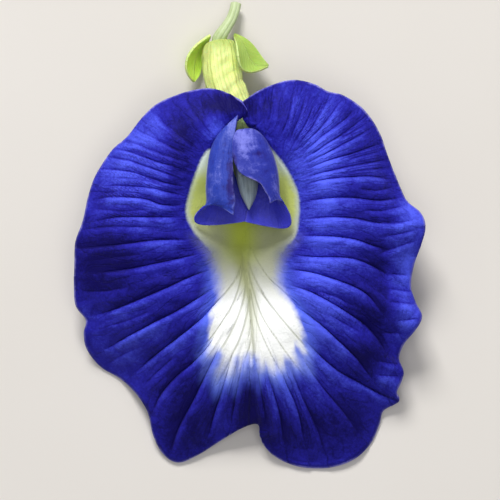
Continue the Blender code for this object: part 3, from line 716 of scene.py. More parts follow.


# %% [markdown]
# The patch is yellow-green in the throat and pure white below it. The grey on the lip, the darker olive
# on the throat's floor, the dimmer sides of the lip and the dark olive deep in the funnel are painted
# shade, and the pale top of the throat by the hoods is a painted highlight. The green is strongest
# along the middle, grey veins cross the white, and the tips of the fingers are light blue.

# %% Colours of the patch
def patch_colour(f, grain, speckle, streaks, inner, edge, hairs):
    pale, low, wide, vein = f.marks("pale", "low", "wide", "vein")
    middle = (wide - 0.75 + low.rise(-9, 0) * 1.5 + streaks * 0.5).size()
    beside = middle.rise(1.7, 0) * low.rise(-16.5, -4.5) * low.rise(2, -2)
    stripe = vein.rise(0.28, 0) * low.rise(0.5, -3.5)
    tips = (1 - edge.rise(0.3, 0.95)) * low.rise(-9.5, -12.5)
    tips = tips.most((low + hairs * 2.5).rise(-13.8, -16.6))
    # Painted shade on the sides of the lip.
    painted_lip_shade = pale.rise(1.6, 0.2) * low.hump(0.2, 2.6)
    rim = (pale + streaks).rise(0.9, 0.1) * low.rise(0, 4)
    return f.layers(
        (255, 255, 255),
        # Painted shade on the lip and on the floor of the throat, in the next three coats.
        (low.rise(-9, -2.5), (162, 164, 148)),
        (low.rise(-3, 1), (182, 186, 144)),
        (low.hump(-1.2, 2.4) * 0.35, (112, 114, 90)),
        (low.rise(1.5, 5.5), (192, 202, 108)),
        (middle.rise(3.4, 0.2) * low.rise(-3, 1.5) * 0.85, (192, 206, 62)),
        (beside * 0.6, (130, 136, 44)),
        (stripe * 0.5, (126, 130, 96)),
        (tips * 0.9, (126, 152, 252)),
        (painted_lip_shade * 0.6, (108, 114, 130)),
        (rim * 0.6, (176, 184, 200)),
        # A painted highlight at the top of the throat, by the hoods.
        (low.rise(9, 11.5) * 0.6, (224, 234, 228)),
        ((grain + speckle).rise(0, 0.5) * 0.12, (160, 165, 130)),
        # Painted shade: darker olive deep inside the funnel.
        (inner * 0.8, f.blend(low.rise(7.5, 5.5), (104, 112, 78), (170, 182, 110))),
    )


# %% [markdown]
# ## The banner's material
#
# The blue comes from pigment in tiny domed cells, which give the petal a velvety bloom at low angles.
# That is the sheen. The colour is a scale from near-black violet to a clear bright blue: painted shade
# darkens the folds, the crease lines and the fine wrinkles, and painted highlight brightens the ridges.
# Fine veins follow the same numbers that shaped the petal, so they fan with it. The throat also shines
# faintly by itself, painted light that brightens the parts of it in shade.

# %% Banner face
DEEP, BLUE, BRIGHT, LILAC = (14, 8, 84), (38, 35, 160), (86, 100, 246), (150, 146, 228)


def banner_face():
    f = Finish("banner_face", Roughness=0.6, Specular_IOR_Level=0.08, Sheen_Weight=0.06,
               Sheen_Roughness=0.5, Sheen_Tint=(150, 150, 255), Emission_Strength=1)
    flow, relief, pleat_shading, painted_shading, crease = f.marks("flow", "relief", "pleat_shading", "painted_shading", "crease")
    depth, margin, reach, low, wide, vein = f.marks("depth", "margin", "reach", "low", "wide", "vein")
    mottle, grain, speckle = f.lumps((0.35, 3), (3, 2), (8, 1))
    # Streaks follow the creases: they change quickly from one crease to the next, slowly along them.
    streaks = f.flow(flow * 2.2, reach * 0.35, 0, 3)
    threads = f.flow(flow * 6, reach * 0.8, 3, 2)
    short = f.flow(flow * 2.6, reach * 0.25, 7).size().rise(0.06, 0)
    groove = crease.hump(0, 0.2) * depth
    white, inner, ragged, edge, hairs = patch_shape(f, grain)
    cream = patch_colour(f, grain, speckle, streaks, inner, edge, hairs)

    # Painted light and shade: the soft patches, the lit and shaded sides of the creases, brighter ridges,
    # and darker crease lines and wrinkles.
    level = 0.40 + painted_shading + pleat_shading * 0.26 + relief * 0.04 - groove * 0.22 + mottle * 0.25 + streaks * 0.35
    level = level + threads * 0.22 + grain * 0.32 + speckle * 0.24 - short * 0.07
    # A painted highlight along the margin, broken up by noise.
    margin_highlight = (margin + grain * 0.3).rise(0.3, 0.05) * (mottle + streaks).rise(-0.25, 0.25)
    halo = (ragged + hairs).rise(-3.2, 0.3) * low.rise(0, -4)
    scale = (level.rise(0, 0.5), BLUE), (level.rise(0.35, 1), BRIGHT)
    colour = f.layers(DEEP, *scale, (margin_highlight * 0.8, LILAC), (halo * 0.75, (98, 122, 246)), (white, cream))

    height = relief * 0.15 - groove * 0.7 + grain * 0.5 + threads * 0.4 + streaks * 0.3
    height = height - vein.rise(0.28, 0) * 0.5 - short * (1 - white) * 0.3
    # Painted light: the throat shines by itself, most where it lies in shade under the hoods.
    painted_glow_strength = low.rise(3, 7) * 0.12 + low.rise(7, 11) * 0.25 + low.rise(-7, -9) * 0.06
    painted_glow_strength = painted_glow_strength + wide.rise(-4, -5.5) * low.rise(4.5, 7.5) * 0.19
    painted_glow = white * (1 - inner) * painted_glow_strength + inner * low.rise(7.5, 5.5) * 0.04
    # The colour of that painted light.
    lamp = f.blend(low.rise(8.5, 11), (196, 210, 110), (204, 218, 196))
    f.fill(f.shader["Emission Color"], f.blend(painted_glow, (0, 0, 0), lamp))
    return f.finish(colour, 0.6 + grain * 0.2, height, 0.12)


# %% [markdown]
# The back of the banner is paler than its face and strongly veined, and whitish green towards the
# claw. The cut rim between them catches the light in places, as a thin lilac line.

# %% Banner back and petal rims
def banner_back():
    f = Finish("banner_back", Roughness=0.6, Specular_IOR_Level=0.3, Sheen_Weight=0.2)
    out, across, relief = f.marks("out", "across", "relief")
    mottle, grain = f.lumps((0.4, 3), (3, 2))
    veins = across.lines(1 / 3, 0.2) * 0.6 + across.lines(1 / 6, 0.2) * out.rise(0.35, 0.6) * 0.4
    # Painted shade: the back is darker behind the face's ridges, where it is hollow.
    level = 0.5 - relief * 0.12 + mottle * 0.5 + veins * 0.2
    blue = f.blend(level.rise(0.1, 0.9), (70, 62, 170), (128, 124, 214))
    pale = f.blend(veins * 0.4, (214, 220, 190), (150, 176, 104))
    return f.finish(f.blend(out.rise(0.5, -0.3), blue, pale), None, grain * 0.3 + veins * 0.5, 0.15)


def petal_rim(name, colour):
    f = Finish(name, Roughness=0.6)
    (grain,) = f.lumps((1.2, 3))
    return f.finish(f.blend(grain.rise(-0.12, 0.25), colour, LILAC), None, grain, 0.05)


BANNER_THICKNESS = 0.30
banner_materials = banner_face(), banner_back(), petal_rim("banner_rim", (70, 66, 190))
banner_piece = sheet("banner_petal", banner, banner_materials, BANNER_THICKNESS, measures)
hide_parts("banner")
print("banner faces:", len(banner_piece.data.polygons))

# %% [markdown]
# ## The wings
#
# Each wing petal has a claw in the calyx and a blade folded like a hood. One edge lies beside the keel,
# the blade runs back from it as a dark leaf, turns round a fold, and comes forward as the hood that
# faces up. Each row of a table below crosses the blade from the keel's side to the hood's edge.

# %% Blades of the wings
LEFT_WING = (
    ((-1.85, 14.5, 4.6), (-2, 14.5, 4.85), (-2.05, 14.5, 5.1), (-2.05, 14.6, 5.35), (-2, 14.7, 5.6)),
    ((-2.05, 12.9, 6.3), (-2.1, 12.9, 7.2), (-2.15, 13, 8.3), (-2.2, 13.2, 9.5), (-1.6, 14.1, 10)),
    ((-2.15, 11.2, 8.1), (-3.3, 11.6, 8.3), (-4.8, 13.4, 10), (-4.1, 15.9, 11.2), (-0.9, 18.9, 11.3)),
    ((-1.5, 9.2, 8.4), (-3.8, 9.4, 8.5), (-5.5, 10.2, 10.4), (-4.4, 11.4, 12.9), (-1.9, 12.8, 12.3)),
    ((-0.2, 6.9, 8.2), (-3.8, 6.2, 8.5), (-5.8, 7.1, 10.2), (-4.5, 7.8, 12.8), (-1.75, 8.6, 12.7)),
    ((0.5, 5, 8.3), (-3.6, 4.4, 8.6), (-5.2, 5.7, 9.8), (-4.6, 5.8, 12.3), (-1.45, 6, 12.7)),
    ((0.6, 3.8, 8.5), (-3.4, 3.1, 8.8), (-8, 3.1, 9.2), (-4.9, 6.8, 11.4), (-1.7, 4.5, 12.6)),
)
RIGHT_WING = (
    ((0.5, 14.5, 4.6), (0.65, 14.5, 4.85), (0.7, 14.5, 5.1), (0.7, 14.6, 5.35), (0.65, 14.7, 5.6)),
    ((1.15, 12.9, 6.3), (1.2, 12.9, 7), (1.2, 13, 7.7), (1.2, 13.2, 8.5), (0.8, 13.7, 9.3)),
    ((1.7, 11.2, 8.1), (2.3, 11.6, 8.3), (3.2, 13.4, 10), (1.1, 17.2, 11.4), (-1.5, 16.2, 12.9)),
    ((1.7, 9.2, 8.4), (3.2, 9.4, 8.5), (4.4, 10.2, 10.3), (2.7, 12.4, 13.2), (-2.1, 12.6, 13.5)),
    ((0.6, 6.9, 8.4), (3.2, 6.6, 8.5), (4.4, 7.9, 10.1), (3.6, 9.6, 13), (-1.3, 9.5, 13.6)),
    ((0, 5, 9), (3.2, 4.6, 8.5), (4.2, 5.6, 9.8), (4, 7.3, 12.2), (1.9, 8.9, 13.3)),
    ((-0.2, 3.6, 9.3), (3.2, 2.8, 8.7), (6.5, 2.5, 9.2), (4.5, 7, 11.2), (3, 6, 12.4)),
)
print("points of each blade:", np.shape(LEFT_WING)[:2])

# %% [markdown]
# A folded petal is smoothed with a B-spline, which pulls the surface gently inside the points, the way
# a subdivision surface does. A curve through every point would bulge beside each fold.

# %% Soft nets
def soft(keys, at):
    """Points of a uniform B-spline, which starts and ends on its first and last keys."""
    a, b, c, d, f = window(keys, at)
    second, third = 3 * f**3 - 6 * f**2 + 4, -3 * f**3 + 3 * f**2 + 3 * f + 1
    return ((1 - f) ** 3 * a + second * b + third * c + f**3 * d) / 6


def soft_net(keys, row_steps, column_steps):
    """A fine net from a coarse one, with the row and the column of each point."""
    keys = np.asarray(keys, float)
    last_row, last_column = keys.shape[0] - 1, keys.shape[1] - 1
    rows = np.linspace(0, last_row, last_row * row_steps + 1)
    columns = np.linspace(0, last_column, last_column * column_steps + 1)
    net = soft(soft(keys, rows).transpose(1, 0, 2), columns).transpose(1, 0, 2)
    return net, np.repeat(rows, len(columns)), np.tile(columns, len(rows))


# %% [markdown]
# The hoods are wrinkled too, and their edges are frayed. Their wrinkles are drawn as the banner's are,
# and so are their lighter and darker places, which are painted highlight and painted shade, such as the
# highlight on the right hood's dome and the shade along the left hood's inner edge. The light and shade
# beside the wrinkles is painted too.

# %% Nets of the wings
WING_CREASES = (
    (0.5, (-1.4, 13.4), (0, 13.1), (1.2, 13.4), (2.4, 13.2)), (0.6, (-1, 12.4), (0.6, 12), (2.2, 12.3)),
    (0.4, (0, 11.2), (1.5, 11), (2.9, 11.4)), (0.3, (1.2, 9.9), (2.4, 9.8), (3.6, 10.2)),
    (0.4, (-2.3, 15.6), (-2.9, 13), (-3.3, 10), (-3.1, 7)), (0.3, (-3.9, 14), (-4.4, 11), (-4.5, 8)),
)
WING_SHADING_PATCHES = (
    (-0.3, 13.9, 1.5, 1.7, 0.55), (3.7, 8.5, 0.8, 2.5, 0.25), (1.5, 12, 1.1, 0.9, -0.28),
    (2.4, 9.6, 1, 1.2, -0.12), (-1.7, 16, 0.9, 1.4, 0.4), (-3, 13, 1, 1.5, -0.05),
    (-3.6, 9, 1.2, 1.6, 0.12), (-4.9, 7.5, 0.6, 1.8, 0.15), (-2, 8.6, 0.5, 3, -0.6),
    (-1.6, 12, 0.3, 3, -0.25),
)
HOOD_CREASE, HOOD_WRINKLE, HOOD_FRAY = 0.16, 0.10, 0.10


def wing_net(blade, side):
    """The wing's net and the measures on it. level is 1 where the petal is level, 0 where it is upright."""
    claw = [around(along, side * np.linspace(60, 102, 5), CLAW_R) for along in CLAW_STATIONS]
    net, row, across = soft_net([*claw, *blade], 16, 20)
    points = net.reshape(-1, 3)
    hood = smoothstep(across, 2.2, 3) * smoothstep(row, 5.5, 6.2)
    # Painted highlights and shade on the hood, with the painted light and shade beside its wrinkles.
    painted_shading = blobs(points[:, :2], WING_SHADING_PATCHES) * hood
    for strength, *keys in WING_CREASES:
        height, lit, _, _ = crease(points[:, :2], strength, keys, -1)
        points[:, 2] += HOOD_CREASE * height * hood
        painted_shading += 0.25 * lit * hood
    points[:, 2] += HOOD_WRINKLE * wrinkle(row * 1.5, across * 2.2, 2.5) * hood
    frayed = smoothstep(across, 3.3, 4) * smoothstep(row, 6.2, 6.8)
    points[:, :2] += (HOOD_FRAY * wrinkle(row * 3, across, 6.5) * frayed)[:, None]
    net = points.reshape(net.shape)
    normal = np.cross(np.gradient(net, axis=0), np.gradient(net, axis=1)).reshape(-1, 3)
    return net, {"row": row, "across": across, "painted_shading": painted_shading, "level": np.abs(unit(normal)[:, 2])}


# %% [markdown]
# ## The wings' material
#
# A hood is thinner than the banner, paler, and mottled with lilac flecks, with a thin pale edge, and
# where it catches more light it has a painted highlight. The leaf inside it is in shade and stays dark,
# and so does the flared tip below the hood. Between them the upright side of the hood has a painted
# pale highlight line. The claw is white.

# %% Wing material
def wing_face(name, body, light, fleck):
    f = Finish(name, Roughness=0.5, Specular_IOR_Level=0.3, Sheen_Weight=0.15,
               Sheen_Roughness=0.5, Sheen_Tint=(190, 190, 255))
    row, across, painted_shading, level = f.marks("row", "across", "painted_shading", "level")
    mottle, grain, speckle, drift = f.lumps((0.9, 4), (4, 2), (9, 1), (0.5, 1))
    flecks = f.flow(across * 3.96, row * 2.88, 0, 3)
    veins = (across + drift * 0.3).lines(0.25, 0.22)
    # The hood's painted highlights and painted shade brighten or darken it here.
    bright = 0.5 + painted_shading + mottle * 0.8 + flecks * fleck - veins * 0.06 + grain * 0.4 + speckle * 0.25
    leaf = (across - (row - 8.3).most(0) * 0.6 + flecks * 0.1).rise(2, 1.75) * row.rise(6.5, 7.5)
    shade = f.blend(0.45 + mottle * 0.5 + grain * 0.5, (34, 30, 152), (64, 68, 222))
    edge = (across + flecks * 0.2).rise(3.90, 3.99) * row.rise(6.9, 7.6)
    tip = (row + flecks * 0.1).rise(9.9, 9.98) * (across.rise(2.7, 3.1) + across.rise(1.6, 1.2) * 0.7)
    # A painted pale highlight on the upright side of the hood.
    side_highlight = level.rise(0.55, 0.15) * across.hump(2.05, 0.5) * row.rise(5.9, 7.2) * row.rise(9.2, 8)
    colour = f.layers(
        (28, 16, 112),
        (bright.rise(0, 0.5), body),
        (bright.rise(0.5, 1.1), light),
        (leaf, shade),
        (edge.most(tip) * mottle.rise(-0.15, 0.2) * 0.6, (150, 152, 224)),
        (side_highlight * 0.8, (208, 216, 226)),
        (row.rise(4.4, 3.2), (226, 228, 214)),
    )
    height = flecks * 0.4 + grain * 0.4 - veins * 0.15 + mottle * 0.6
    return f.finish(colour, 0.5 + mottle * 0.2, height, 0.12)


WINGS = (
    ("wing_left", LEFT_WING, -1, (38, 60, 168), (104, 114, 206), 0.65),
    ("wing_right", RIGHT_WING, 1, (40, 50, 160), (118, 122, 218), 0.4),
)
WING_THICKNESS = 0.22
for name, blade, side, body, light, fleck in WINGS:
    net, marks = wing_net(blade, side)
    materials = wing_face(name + "_face", body, light, fleck), petal_rim(name + "_rim", (80, 74, 186))
    piece = sheet(name + "_petal", net, materials, WING_THICKNESS, marks)
    piece.modifiers["Thickness"].material_offset = 0
    piece.modifiers["Thickness"].material_offset_rim = 1
    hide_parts(name)
    print(piece.name, "faces:", len(piece.data.polygons))

# %% [markdown]
# ## The keel
#
# Two small pale petals lean together over the stamens. They touch along the ridge, and only a
# grey-green diamond of them shows between the hoods. One table serves for both, because each point is
# given by its distance from the flower's middle.

# %% Keel
RIDGE = 0.005  # from the flower's middle to each half
KEEL = (
    ((0.87, 14.4, 5.6), (0.93, 14.6, 6), (0.7, 14.9, 6.45), (RIDGE, 15.1, 6.7)),
    ((1.02, 12.7, 6.1), (1.2, 13.1, 6.9), (0.9, 13.6, 7.9), (RIDGE, 13.7, 8.1)),
    ((1.05, 10.6, 7.7), (1.4, 11, 8.7), (1, 11.7, 10), (RIDGE, 11.9, 10.2)),
    ((1, 8.4, 8.7), (1.6, 8.7, 9.7), (1.1, 9.1, 11.2), (RIDGE, 9.2, 11.3)),
    ((0.72, 6.7, 9.1), (1.02, 6.7, 9.9), (0.7, 6.9, 11.1), (RIDGE, 6.9, 11.2)),
    ((0.08, 5.4, 9.8), (0.10, 5.3, 10.1), (0.07, 5.2, 10.65), (RIDGE, 5.1, 10.7)),
)
KEEL_CLAW_R = (CLAW_R, CLAW_R, CLAW_R, CLAW_R + 0.1)


def keel_net(side):
    turn = side * np.linspace(138, 169, 4)
    claw = [around(along, turn, radius) for along, radius in zip(CLAW_STATIONS, KEEL_CLAW_R)]
    axis_x, axis_y, _ = np.array(AXIS)[::-1].T
    blade = np.array(KEEL)
    blade[..., 0] = np.interp(blade[..., 1], axis_y, axis_x) + side * blade[..., 0]
    return soft_net([*claw, *blade], 10, 12)


def keel_face():
    f = Finish("keel_face", Roughness=0.5, Sheen_Weight=0.15)
    row, across = f.marks("row", "across")
    mottle, grain = f.lumps((0.9, 3), (5, 2))
    veins = (across + row * 0.15).lines(0.5, 0.2)
    colour = f.layers(
        (126, 142, 154),
        (mottle + 0.5, (150, 164, 164)),
        (veins * 0.12, (100, 118, 124)),
        (across.rise(1.6, 0.4) * 0.5, (88, 100, 140)),
        (row.rise(4.2, 3.2), (222, 226, 204)),
    )
    return f.finish(colour, None, grain * 0.3 - veins * 0.3, 0.1)


KEEL_THICKNESS = 0.1
keel_material = keel_face()
for name, side in (("keel_left", -1), ("keel_right", 1)):
    net, row, across = keel_net(side)
    piece = sheet(name + "_petal", net, [keel_material], KEEL_THICKNESS, {"row": row, "across": across})
    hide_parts(name)
    print(piece.name, "faces:", len(piece.data.polygons))

# %% [markdown]
# ## The calyx
#
# The calyx is a ribbed and gently lumpy tube with five teeth. Four of them stand out below the banner,
# and the one in the slit is narrower and lies flat between the banner's two edges.

# %% Net of the calyx
CALYX_PROFILE = (
    (-0.1, 0.9), (0.15, 1.6), (0.7, 2.05), (1.8, 2.3), (4.4, 2.3), (8, 2.22), (CALYX_LENGTH, 2.3),
)
PROFILE_R = 2.3  # the widest radius in the profile
CALYX_COLUMNS = 200
LUMP = 0.24
TOOTH_PITCH, SLIT = 72, 180
# The width of a tooth as a share of the pitch, its form, which is 1 if it has straight sides and less
# if it is rounder, and how far it flares, in degrees.
WIDE_TOOTH, SLIT_TOOTH = (0.98, 0.8, 36), (0.8, 0.5, 8)


def calyx_net():
    """Rows from the foot to the tips of the teeth, with the row and the turn of each point."""
    turn = np.arange(CALYX_COLUMNS) * 360 / CALYX_COLUMNS
    radians = np.radians(turn)
    fine = np.linspace(0, len(CALYX_PROFILE) - 1, 49)
    along, radius = through(CALYX_PROFILE, fine).T
    radius = radius / PROFILE_R * CALYX_R
    ribs = 1 + 0.018 * np.cos(10 * radians) + 0.006 * np.cos(30 * radians)
    east, north = 1.6 * np.cos(radians), 1.6 * np.sin(radians)
    lumps = [LUMP * smoothstep(s, 0.2, 2) * wrinkle(east, north + 1.1 * s, 3.5) for s in along]
    rows = [around(s, turn, r * ribs + lump) for s, r, lump in zip(along, radius, lumps)]
    at_slit = np.abs(turn - SLIT) < TOOTH_PITCH / 2
    width, form, flare = np.where(at_slit, *np.array((SLIT_TOOTH, WIDE_TOOTH))[..., None])
    beside = np.abs(turn % TOOTH_PITCH / (TOOTH_PITCH / 2) - 1)
    reach = TOOTH * np.clip(1 - beside / width, 0, 1) ** form
    shares = np.linspace(0, 1, 19)[1:]
    for share in shares:
        gone = share * reach + 0.12 * share
        bend = np.radians(flare) * (0.5 + 0.5 * share)
        outward = radius[-1] * ribs + lumps[-1] + gone * np.sin(bend)
        rows.append(around(CALYX_LENGTH + gone * np.cos(bend), turn, outward))
    number = np.concatenate([fine, fine[-1] + 3 * shares])
    return np.array(rows), np.repeat(number, CALYX_COLUMNS), np.tile(turn, len(number))


# %% [markdown]
# The calyx is thin enough for light to shine through it, so it looks bright yellow-green between
# darker veins: a strong one for every rib, finer ones between, and a net of small ones. Its whitish
# patches are partly fuzz and partly painted highlights on its crumples.

# %% Calyx
def calyx_face():
    f = Finish("calyx_face", Roughness=0.5, Subsurface_Weight=0.15, Subsurface_Scale=0.001)
    row, turn = f.marks("row", "turn")
    mottle, grain, drift, cells, fuzz_and_highlights = f.lumps((0.5, 3), (3, 2), (0.6, 1), (1.6, 2), (1.1, 3))
    wander = turn + drift * 4
    ribs, veins = wander.lines(36, 0.14), wander.lines(12, 0.2) * 0.6
    net = cells.size().rise(0.06, 0) * 0.25
    folds = f.flow(row * 0.9, turn / 20, 0, 2)
    colour = f.layers(
        (212, 226, 106),
        (mottle + 0.5, (247, 253, 172)),
        # Whitish patches: partly fuzz, partly painted highlights on the crumples.
        (fuzz_and_highlights.rise(0.05, 0.3) * 0.5, (246, 250, 218)),
        ((veins + net) * 0.22, (150, 180, 66)),
        (ribs * 0.25, (146, 176, 66)),
        (row.rise(5.6, 6.6) * 0.85, (92, 122, 62)),
        (row.rise(3.6, 1.8) * (mottle + 0.4).rise(0, 0.5), (176, 194, 100)),
    )
    height = grain * 0.3 - veins * 0.4 - ribs * 0.3 + mottle * 1.2 - net * 0.3 + folds * 1.2
    return f.finish(colour, 0.5 + mottle * 0.2, height, 0.14)


SEPAL_THICKNESS = 0.3
calyx, row, turn = calyx_net()
marks = {"row": row, "turn": turn}
calyx_piece = sheet("calyx_tube", calyx, [calyx_face()], SEPAL_THICKNESS, marks, closed=True)
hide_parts("calyx")
print("calyx faces:", len(calyx_piece.data.polygons))

# %% [markdown]
# ## The bracteoles
#
# Two small leaves stand beside the foot of the calyx. Each is a cupped sheet between its two edges,
# with a net of veins that runs from its base to its tip. The left one faces the light, so its greens
# are painted brighter than the right one's.

# %% Bracteoles
RIGHT_BRACTEOLE = (
    ((-1.75, 27.5, 3.3), (-1.35, 26.5, 5.4), (-1.2, 24.7, 6.2), (-0.9, 23.1, 5.6), (0.7, 22.6, 4.5),
     (2.7, 23.6, 3.5)),
    ((-1.6, 27.85, 2.8), (-0.2, 27.3, 3.2), (0.9, 26.3, 3.1), (1.6, 25.3, 3), (2.2, 24.5, 3.1),
     (2.8, 23.8, 3.3)),
)
LEFT_BRACTEOLE = (
    ((-4.8, 27.4, 2.1), (-5.3, 26.4, 1), (-5.85, 25, 0.8), (-5.9, 23.6, 0.9), (-6.1, 22.5, 1.2),
     (-6.8, 21.7, 1.8)),
    ((-4.75, 27.7, 2.8), (-6.3, 26.7, 3.3), (-7.5, 25.4, 3.4), (-8, 24, 3.2), (-7.8, 22.7, 2.7),
     (-7, 21.8, 2)),
)
CUP = 0.10  # as a share of the width


def bracteole_net(edges):
    share = np.linspace(0, 1, 5)[None, :, None]
    first, second = (np.array(edge)[:, None, :] for edge in edges)
    rows = first * (1 - share) + second * share
    width = np.linalg.norm(second - first, axis=-1)
    rows[:, :, 2] -= CUP * width * (4 * share * (1 - share))[:, :, 0]
    return soft_net(rows, 12, 10)


def bracteole_face(name, light, dark):
    f = Finish(name, Roughness=0.5, Subsurface_Weight=0.1, Subsurface_Scale=0.001)
    row, across = f.marks("row", "across")
    mottle, grain = f.lumps((0.8, 3), (4, 2))
    spine, side = across.hump(2, 0.12), (across - 2).size()
    veins = (row * 1.2 - side * 0.9).lines(0.5, 0.16)
    colour = f.layers(
        dark,
        (mottle + 0.5, light),
        (spine * 0.6 + veins * 0.35, (206, 226, 130)),
        (side.rise(1.85, 2) * 0.6, (222, 236, 160)),
    )
    return f.finish(colour, None, spine * 0.7 + veins * 0.4 + grain * 0.3, 0.12)


# The left one's brighter greens are painted light.
BRACTEOLES = (
    ("bracteole_left", LEFT_BRACTEOLE, (222, 252, 104), (190, 234, 74)),
    ("bracteole_right", RIGHT_BRACTEOLE, (182, 210, 96), (150, 188, 66)),
)
for name, edges, light, dark in BRACTEOLES:
    net, row, across = bracteole_net(edges)
    leaf = [bracteole_face(name + "_face", light, dark)]
    piece = sheet(name + "_leaf", net, leaf, SEPAL_THICKNESS, {"row": row, "across": across})
    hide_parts(name)
    print(piece.name, "faces:", len(piece.data.polygons))

# %% [markdown]
# ## The stalk
#
# The stalk was cut when the flower was picked, and it widens into the receptacle inside the foot of
# the calyx. It is solid, so smaller and smaller rings close its two ends, down to a pinhole in the
# middle. The cut end is slightly hollow, because soft pith shrinks.

# %% Stalk
PEDICEL_R = 0.75
STALK = (
    (-1.4, 31.8, 1.4), (-1.6, 30.9, 1.7), (-2, 29.8, 2.1), (-2.6, 28.8, 2.45), (-3.2, 27.9, 2.7),
)
RECEPTACLE = (-0.35, 0.3, 0.9, 1.3, 1.5)  # places along the flower's axis
STALK_RADII = (0.9, 0.9, 0.92, 0.97, 1.1, 1.25, 1.1, 0.85, 0.55, 0.3)
STALK_ROWS, STALK_COLUMNS = 100, 48
CUT_SHARES, TIP_SHARES = (0.02, 0.35, 0.7, 0.93), (0.7, 0.35, 0.02)
CUT_ROWS, TIP_ROWS = (-1, -0.8, -0.6, -0.3), (9.5, 9.7, 10)
PITH_DEPTH = 0.12


def stalk_net():
    """Rings round the stalk. The first rings close the cut end and the last ones the receptacle."""
    keys = np.concatenate([STALK, around(np.array(RECEPTACLE), 0, 0)])
    at = np.linspace(0, len(keys) - 1, STALK_ROWS)
    points, radii = through(keys, at), through(np.array(STALK_RADII)[:, None], at) * PEDICEL_R
    ahead = unit(np.gradient(points, axis=0))
    side = unit(np.cross(ahead, (0, 0, 1)))
    up = np.cross(side, ahead)
    turn = np.arange(STALK_COLUMNS) * 360 / STALK_COLUMNS
    radians = np.radians(turn)
    ribs = 1 + 0.03 * np.cos(5 * radians) + 0.012 * np.cos(11 * radians)
    ring = np.cos(radians)[:, None] * side[:, None] + np.sin(radians)[:, None] * up[:, None]
    net = points[:, None] + (radii * ribs)[..., None] * ring
    first, last = net[0] - points[0], net[-1] - points[-1]
    cut = [points[0] + first * share + ahead[0] * PITH_DEPTH * (1 - share) for share in CUT_SHARES]
    tip = [points[-1] + last * share for share in TIP_SHARES]
    rows = np.concatenate([CUT_ROWS, at, TIP_ROWS])
    return np.concatenate([cut, net, tip]), np.repeat(rows, len(turn)), np.tile(turn, len(rows))


def stalk_face():
    f = Finish("stalk_face", Roughness=0.5)
    row, turn = f.marks("row", "turn")
    mottle, grain = f.lumps((0.7, 3), (4, 2))
    ridges, hairs = turn.lines(36, 0.3), f.flow(turn * 0.3, row * 2, 0, 2)
    colour = f.layers(
        (164, 186, 118),
        (mottle + 0.5, (200, 214, 166)),
        (ridges * 0.35, (218, 226, 194)),
        (row.rise(0.05, -0.2), (212, 214, 160)),
        (row.rise(-0.55, -0.95) * 0.6, (150, 150, 96)),
    )
    return f.finish(colour, 0.5 + mottle * 0.2, grain * 0.3 + hairs * 0.4 + ridges * 0.3, 0.12)


stalk, row, turn = stalk_net()
stalk_piece = sheet("pedicel_stalk", stalk, [stalk_face()], 0, {"row": row, "turn": turn}, closed=True)
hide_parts("pedicel")
print("stalk faces:", len(stalk_piece.data.polygons))

# %% [markdown]
# ## What the keel hides
#
# Nine of the ten stamens are joined into a sheath round the pistil, and the tenth is free. They are
# inside the keel in this flower, so the solids of the frame stay and only get their own materials:
# cream filaments with yellow anthers at their tips, and a green pistil with a paler hairy tip.

# %% Stamens and pistil
TIP_LENGTH = 1.4


def organ_face(name, body, tip, tip_from):
    f = Finish(name, Roughness=0.5)
    mottle, grain = f.lumps((2, 3), (9, 2))
    height = f.node("ShaderNodeSeparateXYZ", {}, {0: f.place()}, 1)
    light = tuple(min(255, value + 22) for value in body)
    colour = f.layers(body, (mottle + 0.5, light), (height.rise(tip_from + 0.8, tip_from - 0.4), tip))
    return f.finish(colour, None, grain, 0.05)


ORGANS = (
    ("stamen_tube", (226, 226, 198), (222, 196, 104)),
    ("free_stamen", (230, 230, 206), (222, 196, 104)),
    ("pistil", (160, 186, 104), (222, 226, 190)),
)
for name, body, tip in ORGANS:
    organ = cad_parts[name]
    tip_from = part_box(name)[0][1] / MM + TIP_LENGTH
    for slot in organ.material_slots:
        slot.material = organ_face(name + "_face", body, tip, tip_from)
    print(name, "tip starts at y, mm:", round(tip_from, 1))

# %% [markdown]
# ## Floor, light and camera
#
# The flower lies on a plain pale floor. The main light is a soft panel that stands beyond the calyx,
# low enough to rake across the creases. A wide weak panel overhead fills the shadows.

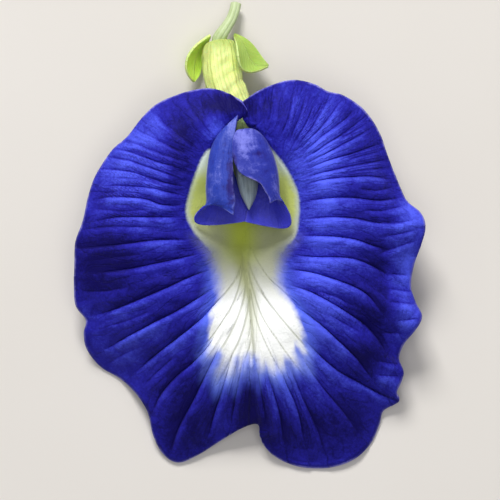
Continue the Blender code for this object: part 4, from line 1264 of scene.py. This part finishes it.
# %% Floor
FLOOR = 3
corners = [(-FLOOR, -FLOOR, 0), (FLOOR, -FLOOR, 0), (FLOOR, FLOOR, 0), (-FLOOR, FLOOR, 0)]
floor_mesh = bpy.data.meshes.new("floor")
floor_mesh.from_pydata(corners, [], [(0, 1, 2, 3)])
paper = Finish("floor_paper", Roughness=0.8)
(mottle,) = paper.lumps((0.02, 2))
floor_mesh.materials.append(paper.finish(paper.blend(mottle + 0.5, (214, 208, 200), (222, 217, 210))))
floor = add("floor", floor_mesh)
print("floor, m:", 2 * FLOOR)

# %% [markdown]
# An area light shines along its own -Z, so each panel is turned until that axis points at the flower.
# The world behind everything adds a little cool light from all round.

# %% Lights
def panel(name, place, size, power, aim=(0, 0, 0.005)):
    """A square soft light aimed at a point."""
    light = bpy.data.lights.new(name, "AREA")
    light.shape, light.size, light.energy = "SQUARE", size, power
    lamp = add(name, light)
    lamp.location = place
    x, y, z = np.array(place) - np.array(aim)
    lamp.rotation_euler = (np.arctan2(np.hypot(x, y), z), 0, np.arctan2(x, -y))
    print(name, "stands from the flower, m:", np.linalg.norm((x, y, z)).round(2))


panel("key_panel", (-0.12, 0.55, 0.50), 0.26, 5.6)
panel("fill_panel", (0.05, -0.1, 0.9), 0.7, 2.6)

world = bpy.data.worlds.new("studio")
world.use_nodes = True
background = world.node_tree.nodes["Background"].inputs
background["Color"].default_value = (0.86, 0.89, 0.95, 1)
background["Strength"].default_value = 0.26
bpy.context.scene.world = world
bpy.context.scene.view_settings.view_transform = "Standard"

# %% [markdown]
# The camera looks straight down from far away with a long lens, so that near petals aren't enlarged.

# %% Camera
VIEW_WIDTH, CAMERA_HEIGHT, SENSOR = 64, 0.75, 36
lens = bpy.data.cameras.new("camera")
lens.sensor_width = SENSOR
lens.clip_start, lens.clip_end = 0.05, 10
centre = HOME + np.array((0.38, 0, 8))
lens.lens = SENSOR * (CAMERA_HEIGHT / MM - centre[2]) / VIEW_WIDTH
camera = add("camera", lens)
camera.location = (centre[0] * MM, centre[1] * MM, CAMERA_HEIGHT)
bpy.context.scene.camera = camera
print("lens, mm:", round(lens.lens, 1), "above x, y, mm:", centre[:2].round(2))
